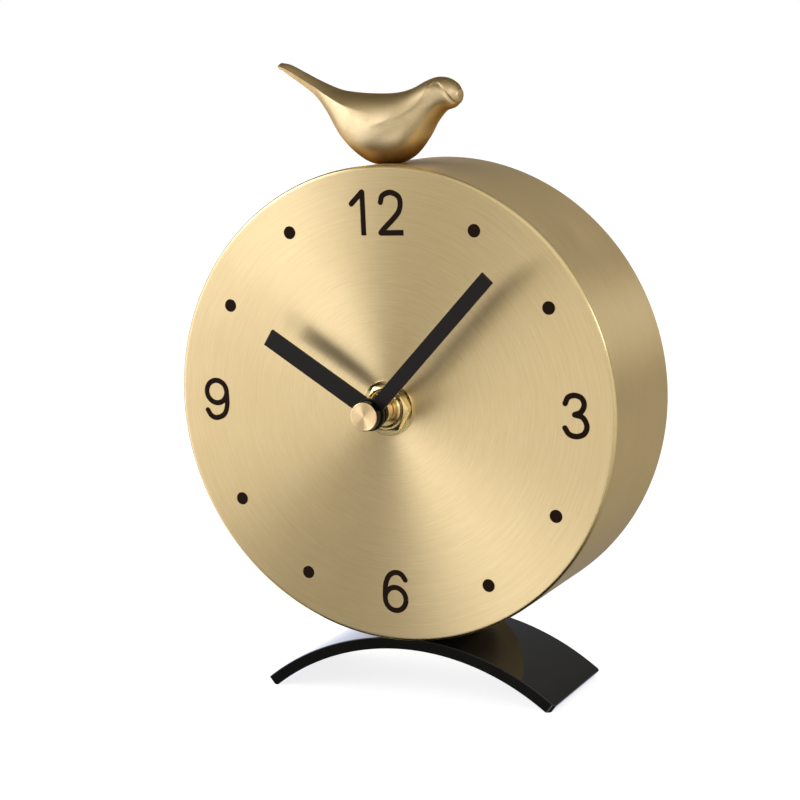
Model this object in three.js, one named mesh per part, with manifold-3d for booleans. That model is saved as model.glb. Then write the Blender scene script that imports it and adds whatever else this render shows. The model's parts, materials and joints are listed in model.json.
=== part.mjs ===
import * as THREE from 'three';
import { mergeVertices } from 'three/addons/utils/BufferGeometryUtils.js';
import Module from 'manifold-3d';

// Desk clock: a drawn brass drum on an arched black foot, with a cast bird on top
// and a battery movement with its gear train inside.
// Millimetres, +Z up, the dial faces -Y. Every depth below is measured along Y
// from the face of the dial, positive into the drum, and every X and Z from the hand shaft.

const wasm = await Module();
wasm.setup();

const degrees = Math.PI / 180;

// Clearances, and how far a cutting tool reaches past the face that it opens
const slideGap = 0.1;
const looseGap = 0.15;
const pivotGap = 0.15;
const wheelGap = 0.4;
const cutOver = 1;

// Drum: a drawn cup whose closed end is the dial
const drumRadius = 55;
const drumDepth = 35;
const drumWall = 0.8;
const rimBend = 1.5;
const drumSides = 72;
const rimSteps = 3;

// Rear cover: a moulded disc pushed into the open end of the drum
const coverRecess = 0.6;
const coverThickness = 2;
const coverSkirtDepth = 4;
const coverSkirtWall = 1.4;
const windowMargin = 2;
const windowCorner = 4;

// Foot: a bent strip that the drum stands on
const footUnderRadius = 57.2;
const footThickness = 2.8;
const footHalfAngle = 38.4 * degrees;
const footFlatWidth = 1.3;
const footFront = 2.4;
const footRear = 3.2;
const footCorner = 0.8;
const footSegments = 24;
const footScrewInset = 6.5;

// Screws and nuts
const screwRadius = 1.5;
const screwHeadRadius = 2.75;
const screwHeadHeight = 1.8;
const screwHeadEdge = 0.5;
const screwSlotWidth = 0.8;
const screwSlotLength = 3.3;
const screwSlotDepth = 0.9;
const sunkHeadRim = 0.25;
const sunkHeadDepth = 0.1;
const nutAcrossFlats = 5.5;
const nutHeight = 2.4;
const screwTail = 0.6;

// Bird: sections from the tail to the beak, each with its top and bottom point
// from the seat on the drum and its half width, in hundredths of the bird's length
const birdLength = 46;
const birdDepth = 8;
const birdHoleDepth = 8;
const birdScrewReach = 7;
const birdRingPoints = 18;
const birdStepsPerSection = 2;
const birdBackNarrowing = 0.2;
const birdTail = [-60.9, 49.6];
const birdBeak = [39.1, 31.3];
const birdSections = [
  { top: [-58.7, 51.5], bottom: [-59.1, 48.0], half: 3.3 },
  { top: [-53.5, 50.2], bottom: [-55.0, 45.0], half: 4.1 },
  { top: [-45.2, 45.9], bottom: [-48.0, 40.2], half: 5.2 },
  { top: [-35.9, 41.1], bottom: [-40.2, 34.1], half: 6.7 },
  { top: [-26.1, 37.0], bottom: [-33.7, 25.9], half: 9.8 },
  { top: [-16.3, 35.2], bottom: [-26.3, 13.9], half: 13.5 },
  { top: [-6.5, 34.3], bottom: [-17.6, 5.2], half: 15.4 },
  { top: [2.2, 34.1], bottom: [-8.5, 0.0], half: 16.1 },
  { top: [9.1, 34.8], bottom: [1.7, -0.7], half: 15.9 },
  { top: [15.2, 36.5], bottom: [11.1, 2.4], half: 14.6 },
  { top: [20.9, 39.1], bottom: [18.5, 9.8], half: 12.8 },
  { top: [26.5, 40.8], bottom: [23.9, 18.0], half: 11.3 },
  { top: [31.7, 40.4], bottom: [29.6, 23.9], half: 10.0 },
  { top: [36.1, 38.0], bottom: [34.8, 25.7], half: 7.8 },
  { top: [38.5, 34.8], bottom: [37.8, 27.8], half: 4.6 },
];

// Shaft stack in front of the dial
const bushRadius = 4;
const bushReach = 2.8;
const bushFlangeRadius = 5.5;
const bushFlange = 0.8;
const washerRadius = 6.4;
const washerThickness = 0.5;
const stemNutAcrossFlats = 10;
const stemNutHeight = 1.4;
const stemNutBevel = 0.3;
const pipeRadius = 2.5;
const pipeWall = 0.75;
const arborRadius = 1.5;
const gasketRadius = 12;
const gasketThickness = 1;

// Hands, straight bars with a round end on the shaft
const handThickness = 0.8;
const hourHandFront = -7.7;
const hourHandLength = 31.1;
const hourHandWidth = 3.9;
const hourHubRadius = 3.3;
const hourCollarRadius = 3.0;
const hourCollarLength = 1.2;
const hourHandAngle = 302.9 * degrees;
const minuteHandFront = -9.8;
const minuteHandLength = 43;
const minuteHandWidth = 3.0;
const minuteHubRadius = 3.7;
const minuteCollarRadius = 3.3;
const minuteCollarLength = 0.8;
const minuteHandAngle = 44.3 * degrees;
const capNutRadius = 3.15;
const capNutLength = 2.5;
const capNutEnd = 0.3;
const capFaceRadius = 3.05;
const capFaceThickness = 0.3;
const capFaceBevel = 0.1;

// Battery, a round cell lying under the wheels
const batteryRadius = 7.25;
const batteryLength = 50.5;
const batteryNubRadius = 2.75;
const batteryNubLength = 1.2;
const batteryEdge = 0.4;
const batterySide = 0.7;
const batteryFloor = 0.3;
const batteryRecess = 0.5;

// Battery contacts
const contactThickness = 0.4;
const contactHalfHeight = 4.5;
const contactSeat = 0.05;
const plusRoom = 0.6;
const springRoom = 2.5;
const springHalfSpan = 5;
const springArcSteps = 10;

// Movement housing
const housingWall = 1.2;
const dividerWall = 1;
const housingCorner = 1.5;
const frontHousingDepth = 8.2;
const pivotDepth = 0.6;
const plateThickness = 0.8;
const postRadius = 1.5;
const postInset = 3;
const plateGap = 0.3;

// Wheels and pinions: tooth counts, thickness, shape and places
const wheelThickness = 0.8;
const pinionMargin = 0.1;
const toothAddendum = 0.85;
const toothDedendum = 1.25;
const toothRootShare = 0.28;
const toothTipShare = 0.11;
const pivotRadius = 0.5;
const motionDistance = 9.6;
const motionAngle = 150 * degrees;
const cannonTeeth = 10;
const reversingTeeth = 30;
const reversingPinionTeeth = 8;
const hourTeeth = 32;
const reversingArborRadius = 1;
const trainDistance = 9;
const trainAngle = 20 * degrees;
const centreTeeth = 64;
const thirdPinionTeeth = 8;
const thirdTeeth = 60;
const fourthPinionTeeth = 8;
const fourthTeeth = 40;
const fifthDistance = 7.5;
const fifthAngle = 90 * degrees;
const fifthPinionTeeth = 8;
const fifthTeeth = 48;
const rotorDistance = 7;
const rotorAngle = 50 * degrees;
const rotorPinionTeeth = 8;
const clutchWasherRadius = 3.2;
const clutchWasherThickness = 0.3;
const arborTail = 0.25;
const trainSide = 1.7;

// Step motor: magnet, stator, core and coil
const magnetRadius = 3;
const magnetThickness = 1.5;
const magnetBore = 0.6;
const statorGap = 0.6;
const statorRing = 1.8;
const statorThickness = 0.8;
const statorBarHeight = 3.4;
const statorLegWidth = 3;
const coreLift = 9.2;
const coreHeight = 3;
const coreThickness = 0.9;
const coilLength = 17;
const coilFlange = 0.8;
const coilFlangeRadius = 3.4;
const coilWindingRadius = 2.9;
const coilTubeRadius = 2;
const coilTopRoom = 1.3;
const corePostRadius = 1.2;

// Circuit board and what is on it
const boardWallGap = 3.2;
const boardHeight = 17;
const boardThickness = 0.8;
const boardLift = 3;
const boardGap = 0.8;
const boardPostInset = 2.2;
const crystalRadius = 1;
const crystalLength = 6;
const chipRadius = 3;
const chipHeight = 1.2;
const chipShoulderRadius = 2.4;
const chipShoulderHeight = 0.85;

// Setting knob on the back of the movement
const knobRadius = 5;
const knobThickness = 2.8;
const knobFlutes = 18;
const knobFluteCorners = 4;
const knobFluteDepth = 0.35;
const knobGap = 0.3;
const knobBore = 2;

// Sides of round pieces and steps of rounded corners
const wideSides = 32;
const middleSides = 24;
const smallSides = 16;
const pinSides = 8;
const cornerSteps = 3;
const flatSearchSteps = 50;

// Depths of the movement, from the dial inwards
const movementFront = drumWall + gasketThickness;
const innerFront = movementFront + housingWall;
const bushBack = innerFront + bushFlange;
const hourLayer = bushBack + slideGap + looseGap;
const motionLayer = hourLayer + wheelThickness + wheelGap;
const centreLayer = motionLayer + wheelThickness + wheelGap;
const clutchLayer = centreLayer + wheelThickness + slideGap;
const arborBack = clutchLayer + clutchWasherThickness + arborTail;
const plateFront = arborBack + wheelGap;
const plateBack = plateFront + plateThickness;
const thirdLayer = plateBack + wheelGap;
const fourthLayer = thirdLayer + wheelThickness + wheelGap;
const fifthLayer = fourthLayer + wheelThickness + wheelGap;
const magnetLayer = fifthLayer + wheelThickness + wheelGap;
const statorLayer = magnetLayer + (magnetThickness - statorThickness) / 2;
const coreLayer = statorLayer - coreThickness;
const batteryAxisDepth = innerFront + batteryFloor + batteryRadius;
const movementBack = batteryAxisDepth + batteryRadius + batteryRecess;
const innerBack = movementBack - housingWall;
const housingSplit = movementFront + frontHousingDepth;

// Places across the movement
const centreModule = 2 * trainDistance / (centreTeeth + thirdPinionTeeth);
const thirdModule = 2 * trainDistance / (thirdTeeth + fourthPinionTeeth);
const fourthModule = 2 * fifthDistance / (fourthTeeth + fifthPinionTeeth);
const fifthModule = 2 * rotorDistance / (fifthTeeth + rotorPinionTeeth);
const motionModule = 2 * motionDistance / (cannonTeeth + reversingTeeth);
const hourModule = 2 * motionDistance / (hourTeeth + reversingPinionTeeth);
const shaftPlace = { x: 0, z: 0 };
const reversingPlace = placeAt(shaftPlace, motionDistance, motionAngle);
const thirdPlace = placeAt(shaftPlace, trainDistance, trainAngle);
const fifthPlace = placeAt(shaftPlace, fifthDistance, fifthAngle);
const rotorPlace = placeAt(fifthPlace, rotorDistance, rotorAngle);
const corePlaceZ = rotorPlace.z + coreLift;
const trainTop = corePlaceZ + coilFlangeRadius + coilTopRoom;
const trainBottom = -(tipRadius(centreTeeth, centreModule) + trainSide);
const bayTop = trainBottom - dividerWall;
const bayBottom = bayTop - 2 * (batteryRadius + batterySide);
const batteryPlaceZ = (bayTop + bayBottom) / 2;
const housingTop = trainTop + housingWall;
const housingBottom = bayBottom - housingWall;
const innerHalfWidth = (batteryLength + springRoom + plusRoom) / 2;
const housingHalfWidth = innerHalfWidth + housingWall;
const batteryPlusEnd = innerHalfWidth - plusRoom;
const batteryMinusEnd = batteryPlusEnd - batteryLength;

// Depths in front of the dial
const washerFront = -washerThickness;
const stemNutFront = washerFront - stemNutHeight;
const capNutFront = minuteHandFront - capNutLength;
const clockFront = capNutFront - capFaceThickness;
const pipeFront = hourHandFront + slideGap;
const arborFront = capNutFront + capNutEnd;

// Depth and heights of the foot: its two standing flats are cut where the strip's end faces meet them
const footBack = drumDepth - footRear;
const footTopRadius = footUnderRadius + footThickness;
const footCentreZ = -drumRadius - footTopRadius;
const footFlatHeight = flatHeight(footUnderRadius, footHalfAngle, footFlatWidth);
const standHeight = -(footCentreZ + footFlatHeight);
const footScrewEnd = footCentreZ + footUnderRadius + sunkHeadDepth;

function placeAt(from, distance, angle) {
  return { x: from.x + distance * Math.cos(angle), z: from.z + distance * Math.sin(angle) };
}

function tipRadius(teeth, module) {
  return module * (teeth / 2 + toothAddendum);
}

// The height above the strip's centre at which the flat between its underside
// and its radial end face has the given width
function flatHeight(radius, halfAngle, width) {
  let low = radius * Math.cos(halfAngle);
  let high = radius;
  for (let step = 0; step < flatSearchSteps; step += 1) {
    const middle = (low + high) / 2;
    const flat = middle * Math.tan(halfAngle) - Math.sqrt(radius ** 2 - middle ** 2);
    if (flat < width) {
      low = middle;
    } else {
      high = middle;
    }
  }
  return low;
}

function solidFrom(geometry) {
  const bare = geometry.clone();
  bare.deleteAttribute('normal');
  bare.deleteAttribute('uv');
  const merged = mergeVertices(bare, 1e-4);
  const points = merged.getAttribute('position').array;
  const corners = [];
  let volume = 0;
  for (let i = 0; i < merged.index.count; i += 3) {
    const [a, b, c] = [0, 1, 2].map((k) => merged.index.getX(i + k));
    if (a !== b && b !== c && c !== a) {
      corners.push(a, b, c);
      const [p, q, r] = [a, b, c].map((k) => new THREE.Vector3().fromArray(points, 3 * k));
      volume += p.dot(q.cross(r));
    }
  }
  if (volume < 0) {
    corners.reverse();
  }
  return new wasm.Manifold(new wasm.Mesh({
    numProp: 3,
    vertProperties: new Float32Array(points),
    triVerts: new Uint32Array(corners),
  }));
}

function geometryFrom(solid) {
  const result = solid.getMesh();
  const geometry = new THREE.BufferGeometry();
  geometry.setAttribute('position', new THREE.BufferAttribute(new Float32Array(result.vertProperties), 3));
  geometry.setIndex(new THREE.BufferAttribute(new Uint32Array(result.triVerts), 1));
  geometry.computeVertexNormals();
  return geometry;
}

function cut(base, ...tools) {
  return geometryFrom(tools.reduce((solid, tool) => solid.subtract(solidFrom(tool)), solidFrom(base)));
}

function join(base, ...others) {
  return geometryFrom(others.reduce((solid, other) => solid.add(solidFrom(other)), solidFrom(base)));
}

function common(base, other) {
  return geometryFrom(solidFrom(base).intersect(solidFrom(other)));
}

// A shape drawn in X and Z, given a thickness along Y
function plateAlongY(shape, front, back, curveSegments = 12) {
  const settings = { depth: back - front, bevelEnabled: false, curveSegments };
  return new THREE.ExtrudeGeometry(shape, settings).rotateX(Math.PI / 2).translate(0, back, 0);
}

// A closed profile of radius and depth points, turned about the Y axis
function turnedAlongY(profile, sides) {
  const closes = profile[0][0] > 0 ? [...profile, profile[0]] : profile;
  return new THREE.LatheGeometry(closes.map(([radius, depth]) => new THREE.Vector2(radius, depth)), sides);
}

function turnedAlongZ(profile, sides) {
  return turnedAlongY(profile, sides).rotateX(Math.PI / 2);
}

function turnedAlongX(profile, sides) {
  return turnedAlongY(profile, sides).rotateZ(-Math.PI / 2);
}

function rod(radius, from, to) {
  return [[0, from], [radius, from], [radius, to], [0, to]];
}

function tube(inner, outer, from, to) {
  return [[inner, from], [outer, from], [outer, to], [inner, to]];
}

function boxBetween(low, high) {
  const size = high.map((value, i) => value - low[i]);
  const middle = high.map((value, i) => (value + low[i]) / 2);
  return new THREE.BoxGeometry(...size).translate(...middle);
}

function pinAt(place, radius, front, back, sides = pinSides) {
  return turnedAlongY(rod(radius, front, back), sides).translate(place.x, 0, place.z);
}

function arcPoints(centreRadius, centreDepth, radius, from, to, steps) {
  return Array.from({ length: steps + 1 }, (_, i) => {
    const angle = from + (to - from) * i / steps;
    return [centreRadius + radius * Math.cos(angle), centreDepth + radius * Math.sin(angle)];
  });
}

function roundedRectangle(left, right, bottom, top, corner) {
  const shape = new THREE.Shape();
  shape.moveTo(left + corner, bottom);
  shape.lineTo(right - corner, bottom);
  shape.absarc(right - corner, bottom + corner, corner, -Math.PI / 2, 0);
  shape.lineTo(right, top - corner);
  shape.absarc(right - corner, top - corner, corner, 0, Math.PI / 2);
  shape.lineTo(left + corner, top);
  shape.absarc(left + corner, top - corner, corner, Math.PI / 2, Math.PI);
  shape.lineTo(left, bottom + corner);
  shape.absarc(left + corner, bottom + corner, corner, Math.PI, 1.5 * Math.PI);
  return shape;
}

function hexagon(acrossFlats) {
  const radius = acrossFlats / 2 / Math.cos(30 * degrees);
  const corners = Array.from({ length: 6 }, (_, i) => {
    const angle = i * 60 * degrees;
    return new THREE.Vector2(radius * Math.cos(angle), radius * Math.sin(angle));
  });
  return new THREE.Shape(corners);
}

// Four corners a tooth, with one tooth centred on the given direction
function gearShape(teeth, module, direction) {
  const pitch = 2 * Math.PI / teeth;
  const root = module * (teeth / 2 - toothDedendum);
  const tip = tipRadius(teeth, module);
  const corners = [];
  for (let tooth = 0; tooth < teeth; tooth += 1) {
    const middle = direction + tooth * pitch;
    const edges = [
      [root, -toothRootShare],
      [tip, -toothTipShare],
      [tip, toothTipShare],
      [root, toothRootShare],
    ];
    for (const [radius, share] of edges) {
      const angle = middle + share * pitch;
      corners.push(new THREE.Vector2(radius * Math.cos(angle), radius * Math.sin(angle)));
    }
  }
  return new THREE.Shape(corners);
}

// A wheel shows a tooth to its neighbour, and a pinion shows it a gap
function wheel(teeth, module, towards, front) {
  return plateAlongY(gearShape(teeth, module, towards), front, front + wheelThickness);
}

function pinion(teeth, module, towards, front) {
  const shape = gearShape(teeth, module, towards + Math.PI / teeth);
  return plateAlongY(shape, front - pinionMargin, front + wheelThickness + pinionMargin);
}

function wheelBore(radius, front) {
  return turnedAlongY(rod(radius, front - cutOver, front + wheelThickness + cutOver), smallSides);
}

function finish(color, roughness, metalness) {
  return () => new THREE.MeshStandardMaterial({ color, roughness, metalness });
}

const brushedBrass = finish(0xc9ae74, 0.35, 1);
const castBrass = finish(0xb99a63, 0.4, 1);
const turnedBrass = finish(0xd8b46a, 0.25, 1);
const blackLacquer = finish(0x141414, 0.12, 0);
const blackPaint = finish(0x2a2628, 0.45, 0);
const blackPlastic = finish(0x1d1d1e, 0.55, 0);
const blackRubber = finish(0x161616, 0.85, 0);
const whitePlastic = finish(0xe6e4dc, 0.5, 0);
const greenBoard = finish(0x2c6b3f, 0.5, 0);
const zincSteel = finish(0xb9bcc0, 0.35, 1);
const copperWire = finish(0xb0622f, 0.4, 1);
const magnetGrey = finish(0x4a4a4d, 0.5, 1);
const batterySkin = finish(0x8d949c, 0.35, 0.6);

const clock = new THREE.Group();
const body = new THREE.Group();
body.position.set(0, -(clockFront + drumDepth) / 2, standHeight);
clock.add(body);

function addPiece(name, geometry, material, x = 0, y = 0, z = 0) {
  const piece = new THREE.Mesh(geometryFrom(solidFrom(geometry)), material());
  piece.name = name;
  piece.position.set(x, y, z);
  body.add(piece);
  return piece;
}

const footScrewDepths = {
  front: footFront + footScrewInset,
  rear: footBack - footScrewInset,
};

function verticalHole(depth, low, high) {
  return turnedAlongZ(rod(screwRadius + looseGap, low, high), smallSides).translate(0, depth, 0);
}

function addDrum() {
  const outerBend = arcPoints(drumRadius - rimBend, rimBend, rimBend, -Math.PI / 2, 0, rimSteps);
  const innerBend = arcPoints(drumRadius - rimBend, rimBend, rimBend - drumWall, 0, -Math.PI / 2, 1);
  const hole = bushRadius + looseGap;
  const profile = [
    [hole, 0],
    ...outerBend,
    [drumRadius, drumDepth],
    [drumRadius - drumWall, drumDepth],
    ...innerBend,
    [hole, drumWall],
  ];
  const inside = drumRadius - drumWall - cutOver;
  const outside = drumRadius + cutOver;
  addPiece('drum_case', cut(
    turnedAlongY(profile, drumSides),
    verticalHole(birdDepth, inside, outside),
    verticalHole(footScrewDepths.front, -outside, -inside),
    verticalHole(footScrewDepths.rear, -outside, -inside),
  ), brushedBrass);
}

function addRearCover() {
  const back = drumDepth - coverRecess;
  const front = back - coverThickness;
  const radius = drumRadius - drumWall - slideGap;
  const profile = [
    [0, front],
    [radius - coverSkirtWall, front],
    [radius - coverSkirtWall, front - coverSkirtDepth],
    [radius, front - coverSkirtDepth],
    [radius, back],
    [0, back],
  ];
  const window = roundedRectangle(
    -housingHalfWidth - windowMargin,
    housingHalfWidth + windowMargin,
    housingBottom - windowMargin,
    housingTop + windowMargin,
    windowCorner,
  );
  const opening = plateAlongY(window, front - cutOver, back + cutOver, cornerSteps);
  addPiece('rear_cover', cut(turnedAlongY(profile, drumSides), opening), blackPlastic);
}

function addFoot() {
  const strip = new THREE.Shape();
  const start = Math.PI / 2 + footHalfAngle;
  const end = Math.PI / 2 - footHalfAngle;
  strip.absarc(0, footCentreZ, footTopRadius, start, end, true);
  strip.absarc(0, footCentreZ, footUnderRadius, end, start, false);
  const arch = plateAlongY(strip, footFront, footBack, footSegments);
  const halfLength = footTopRadius * Math.sin(footHalfAngle);
  const plan = roundedRectangle(-halfLength, halfLength, footFront, footBack, footCorner);
  const height = drumRadius + footTopRadius;
  const outline = new THREE.ExtrudeGeometry(plan, {
    depth: height,
    bevelEnabled: false,
    curveSegments: cornerSteps,
  });
  const below = boxBetween([-height, 0, -height], [height, footBack + cutOver, -standHeight]);
  addPiece('foot', cut(
    common(arch, outline.translate(0, 0, -height)),
    below,
    ...Object.values(footScrewDepths).map((depth) => (
      turnedAlongZ(sunkProfile(footThickness + cutOver, looseGap, cutOver), middleSides)
        .translate(0, depth, footScrewEnd)
    )),
  ), blackLacquer);
}

// The cross slot of a screw head whose flat end lies at the given height and looks down
function crossSlot(headEnd) {
  const reach = screwSlotLength / 2;
  const low = headEnd - cutOver;
  const high = headEnd + screwSlotDepth;
  const half = screwSlotWidth / 2;
  return [
    boxBetween([-reach, -half, low], [reach, half, high]),
    boxBetween([-half, -reach, low], [half, reach, high]),
  ];
}

// A pan head under the shank, turned about Z
function screwGeometry(length) {
  const profile = [
    [0, -screwHeadHeight],
    [screwHeadRadius - screwHeadEdge, -screwHeadHeight],
    [screwHeadRadius, screwHeadEdge - screwHeadHeight],
    [screwHeadRadius, 0],
    [screwRadius, 0],
    [screwRadius, length],
    [0, length],
  ];
  return cut(turnedAlongZ(profile, smallSides), ...crossSlot(-screwHeadHeight));
}

// A countersunk screw with its flat end at height 0, or with a gap the hole that it sinks into
function sunkProfile(length, gap, below) {
  const coneEnd = sunkHeadRim + screwHeadRadius - screwRadius;
  return [
    [0, -below],
    [screwHeadRadius + gap, -below],
    [screwHeadRadius + gap, sunkHeadRim],
    [screwRadius + gap, coneEnd],
    [screwRadius + gap, length],
    [0, length],
  ];
}

// A flat circle of the given radius sits this high inside a curved wall
function seatHeight(wallRadius, flatRadius) {
  return Math.sqrt(wallRadius ** 2 - flatRadius ** 2);
}

function addFootFasteners() {
  const innerWall = drumRadius - drumWall;
  const nutRadius = nutAcrossFlats / 2 / Math.cos(30 * degrees);
  const nutSeat = slideGap - seatHeight(innerWall, nutRadius);
  const nutHole = turnedAlongY(rod(screwRadius + slideGap, -cutOver, nutHeight + cutOver), smallSides);
  const nut = cut(plateAlongY(hexagon(nutAcrossFlats), 0, nutHeight), nutHole).rotateX(Math.PI / 2);
  for (const [end, depth] of Object.entries(footScrewDepths)) {
    const length = nutSeat + nutHeight + screwTail - footScrewEnd;
    const screw = cut(turnedAlongZ(sunkProfile(length, 0, 0), middleSides), ...crossSlot(0));
    addPiece(`foot_screw_${end}`, screw, zincSteel, 0, depth, footScrewEnd);
    addPiece(`foot_nut_${end}`, nut, zincSteel, 0, depth, nutSeat);
  }
}

function birdGeometry() {
  const unit = birdLength / 100;
  const sections = birdSections.map(({ top, bottom, half }) => ({
    top: new THREE.Vector3(top[0], 0, top[1]).multiplyScalar(unit),
    bottom: new THREE.Vector3(bottom[0], 0, bottom[1]).multiplyScalar(unit),
    half: new THREE.Vector3(half, 0, 0).multiplyScalar(unit),
  }));
  const tops = new THREE.CatmullRomCurve3(sections.map((section) => section.top));
  const bottoms = new THREE.CatmullRomCurve3(sections.map((section) => section.bottom));
  const halves = new THREE.CatmullRomCurve3(sections.map((section) => section.half));
  const rings = (sections.length - 1) * birdStepsPerSection + 1;
  const points = [birdTail[0] * unit, 0, birdTail[1] * unit];
  for (let ring = 0; ring < rings; ring += 1) {
    const share = ring / (rings - 1);
    const top = tops.getPoint(share);
    const bottom = bottoms.getPoint(share);
    const half = halves.getPoint(share).x;
    for (let i = 0; i < birdRingPoints; i += 1) {
      const angle = 2 * Math.PI * i / birdRingPoints;
      const rise = (1 + Math.sin(angle)) / 2;
      const point = bottom.clone().lerp(top, rise);
      const narrowing = 1 - birdBackNarrowing * Math.sin(angle);
      points.push(point.x, half * Math.cos(angle) * narrowing, point.z);
    }
  }
  points.push(birdBeak[0] * unit, 0, birdBeak[1] * unit);
  const last = 1 + rings * birdRingPoints;
  const corners = [];
  for (let i = 0; i < birdRingPoints; i += 1) {
    const next = (i + 1) % birdRingPoints;
    corners.push(0, 1 + i, 1 + next);
    for (let ring = 0; ring < rings - 1; ring += 1) {
      const here = 1 + ring * birdRingPoints;
      const there = here + birdRingPoints;
      corners.push(here + i, there + i, there + next);
      corners.push(here + i, there + next, here + next);
    }
    corners.push(last, last - birdRingPoints + next, last - birdRingPoints + i);
  }
  const geometry = new THREE.BufferGeometry();
  geometry.setAttribute('position', new THREE.Float32BufferAttribute(points, 3));
  geometry.setIndex(corners);
  return geometry;
}

function addBird() {
  const belowSeat = boxBetween([-birdLength, -birdLength, -birdLength], [birdLength, birdLength, 0]);
  const hole = turnedAlongZ(rod(screwRadius + looseGap, -cutOver, birdHoleDepth), smallSides);
  addPiece('bird', cut(birdGeometry(), belowSeat, hole), castBrass, 0, birdDepth, drumRadius);
  const headSeat = seatHeight(drumRadius - drumWall, screwHeadRadius) - slideGap;
  const length = drumRadius + birdScrewReach - headSeat;
  addPiece('bird_screw', screwGeometry(length), zincSteel, 0, birdDepth, headSeat);
}

function addShaftFixings() {
  const boreRadius = bushRadius + slideGap;
  const washer = tube(boreRadius, washerRadius, washerFront, 0);
  addPiece('dial_washer', turnedAlongY(washer, wideSides), turnedBrass);
  const cornerRadius = stemNutAcrossFlats / 2 / Math.cos(30 * degrees);
  const bevelled = turnedAlongY([
    [0, stemNutFront],
    [stemNutAcrossFlats / 2, stemNutFront],
    [cornerRadius + slideGap, stemNutFront + stemNutBevel + slideGap / 2],
    [cornerRadius + slideGap, washerFront],
    [0, washerFront],
  ], wideSides);
  const hexPrism = plateAlongY(hexagon(stemNutAcrossFlats), stemNutFront, washerFront);
  const bore = turnedAlongY(rod(boreRadius, stemNutFront - cutOver, washerFront + cutOver), middleSides);
  addPiece('stem_nut', cut(common(hexPrism, bevelled), bore), turnedBrass);
  const gasket = tube(boreRadius, gasketRadius, drumWall, movementFront);
  addPiece('cushion_ring', turnedAlongY(gasket, middleSides), blackRubber);
  const bush = [
    [pipeRadius + looseGap, -bushReach],
    [bushRadius, -bushReach],
    [bushRadius, innerFront],
    [bushFlangeRadius, innerFront],
    [bushFlangeRadius, bushBack],
    [pipeRadius + looseGap, bushBack],
  ];
  addPiece('threaded_bush', turnedAlongY(bush, middleSides), turnedBrass);
}

function handShape(length, width, hubRadius) {
  const half = width / 2;
  const meet = Math.asin(half / hubRadius);
  const shape = new THREE.Shape();
  shape.moveTo(half, length);
  shape.lineTo(-half, length);
  shape.absarc(0, 0, hubRadius, Math.PI / 2 + meet, Math.PI / 2 - meet + 2 * Math.PI, false);
  shape.lineTo(half, length);
  return shape;
}

function handGeometry(length, width, hubRadius, collarRadius, collarLength, front, bore) {
  const back = front + handThickness;
  return cut(
    join(
      plateAlongY(handShape(length, width, hubRadius), front, back, middleSides),
      turnedAlongY(rod(collarRadius, back - slideGap, back + collarLength), middleSides),
    ),
    turnedAlongY(rod(bore, front - cutOver, back + collarLength + cutOver), smallSides),
  );
}

function addHands() {
  const hour = handGeometry(
    hourHandLength, hourHandWidth, hourHubRadius,
    hourCollarRadius, hourCollarLength, hourHandFront, pipeRadius + slideGap,
  );
  addPiece('hour_hand', hour, blackPaint).rotation.y = hourHandAngle;
  const minute = handGeometry(
    minuteHandLength, minuteHandWidth, minuteHubRadius,
    minuteCollarRadius, minuteCollarLength, minuteHandFront, arborRadius + slideGap,
  );
  addPiece('minute_hand', minute, blackPaint).rotation.y = minuteHandAngle;
  const capNut = [
    [0, capNutFront],
    [capNutRadius, capNutFront],
    [capNutRadius, minuteHandFront],
    [arborRadius + slideGap, minuteHandFront],
    [arborRadius + slideGap, arborFront - slideGap],
    [0, arborFront - slideGap],
  ];
  addPiece('cap_nut', turnedAlongY(capNut, middleSides), blackPaint);
  const capFace = [
    [0, clockFront],
    [capFaceRadius - capFaceBevel, clockFront],
    [capFaceRadius, clockFront + capFaceBevel],
    [capFaceRadius, capNutFront],
    [0, capNutFront],
  ];
  addPiece('cap_face', turnedAlongY(capFace, middleSides), turnedBrass);
}

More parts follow.
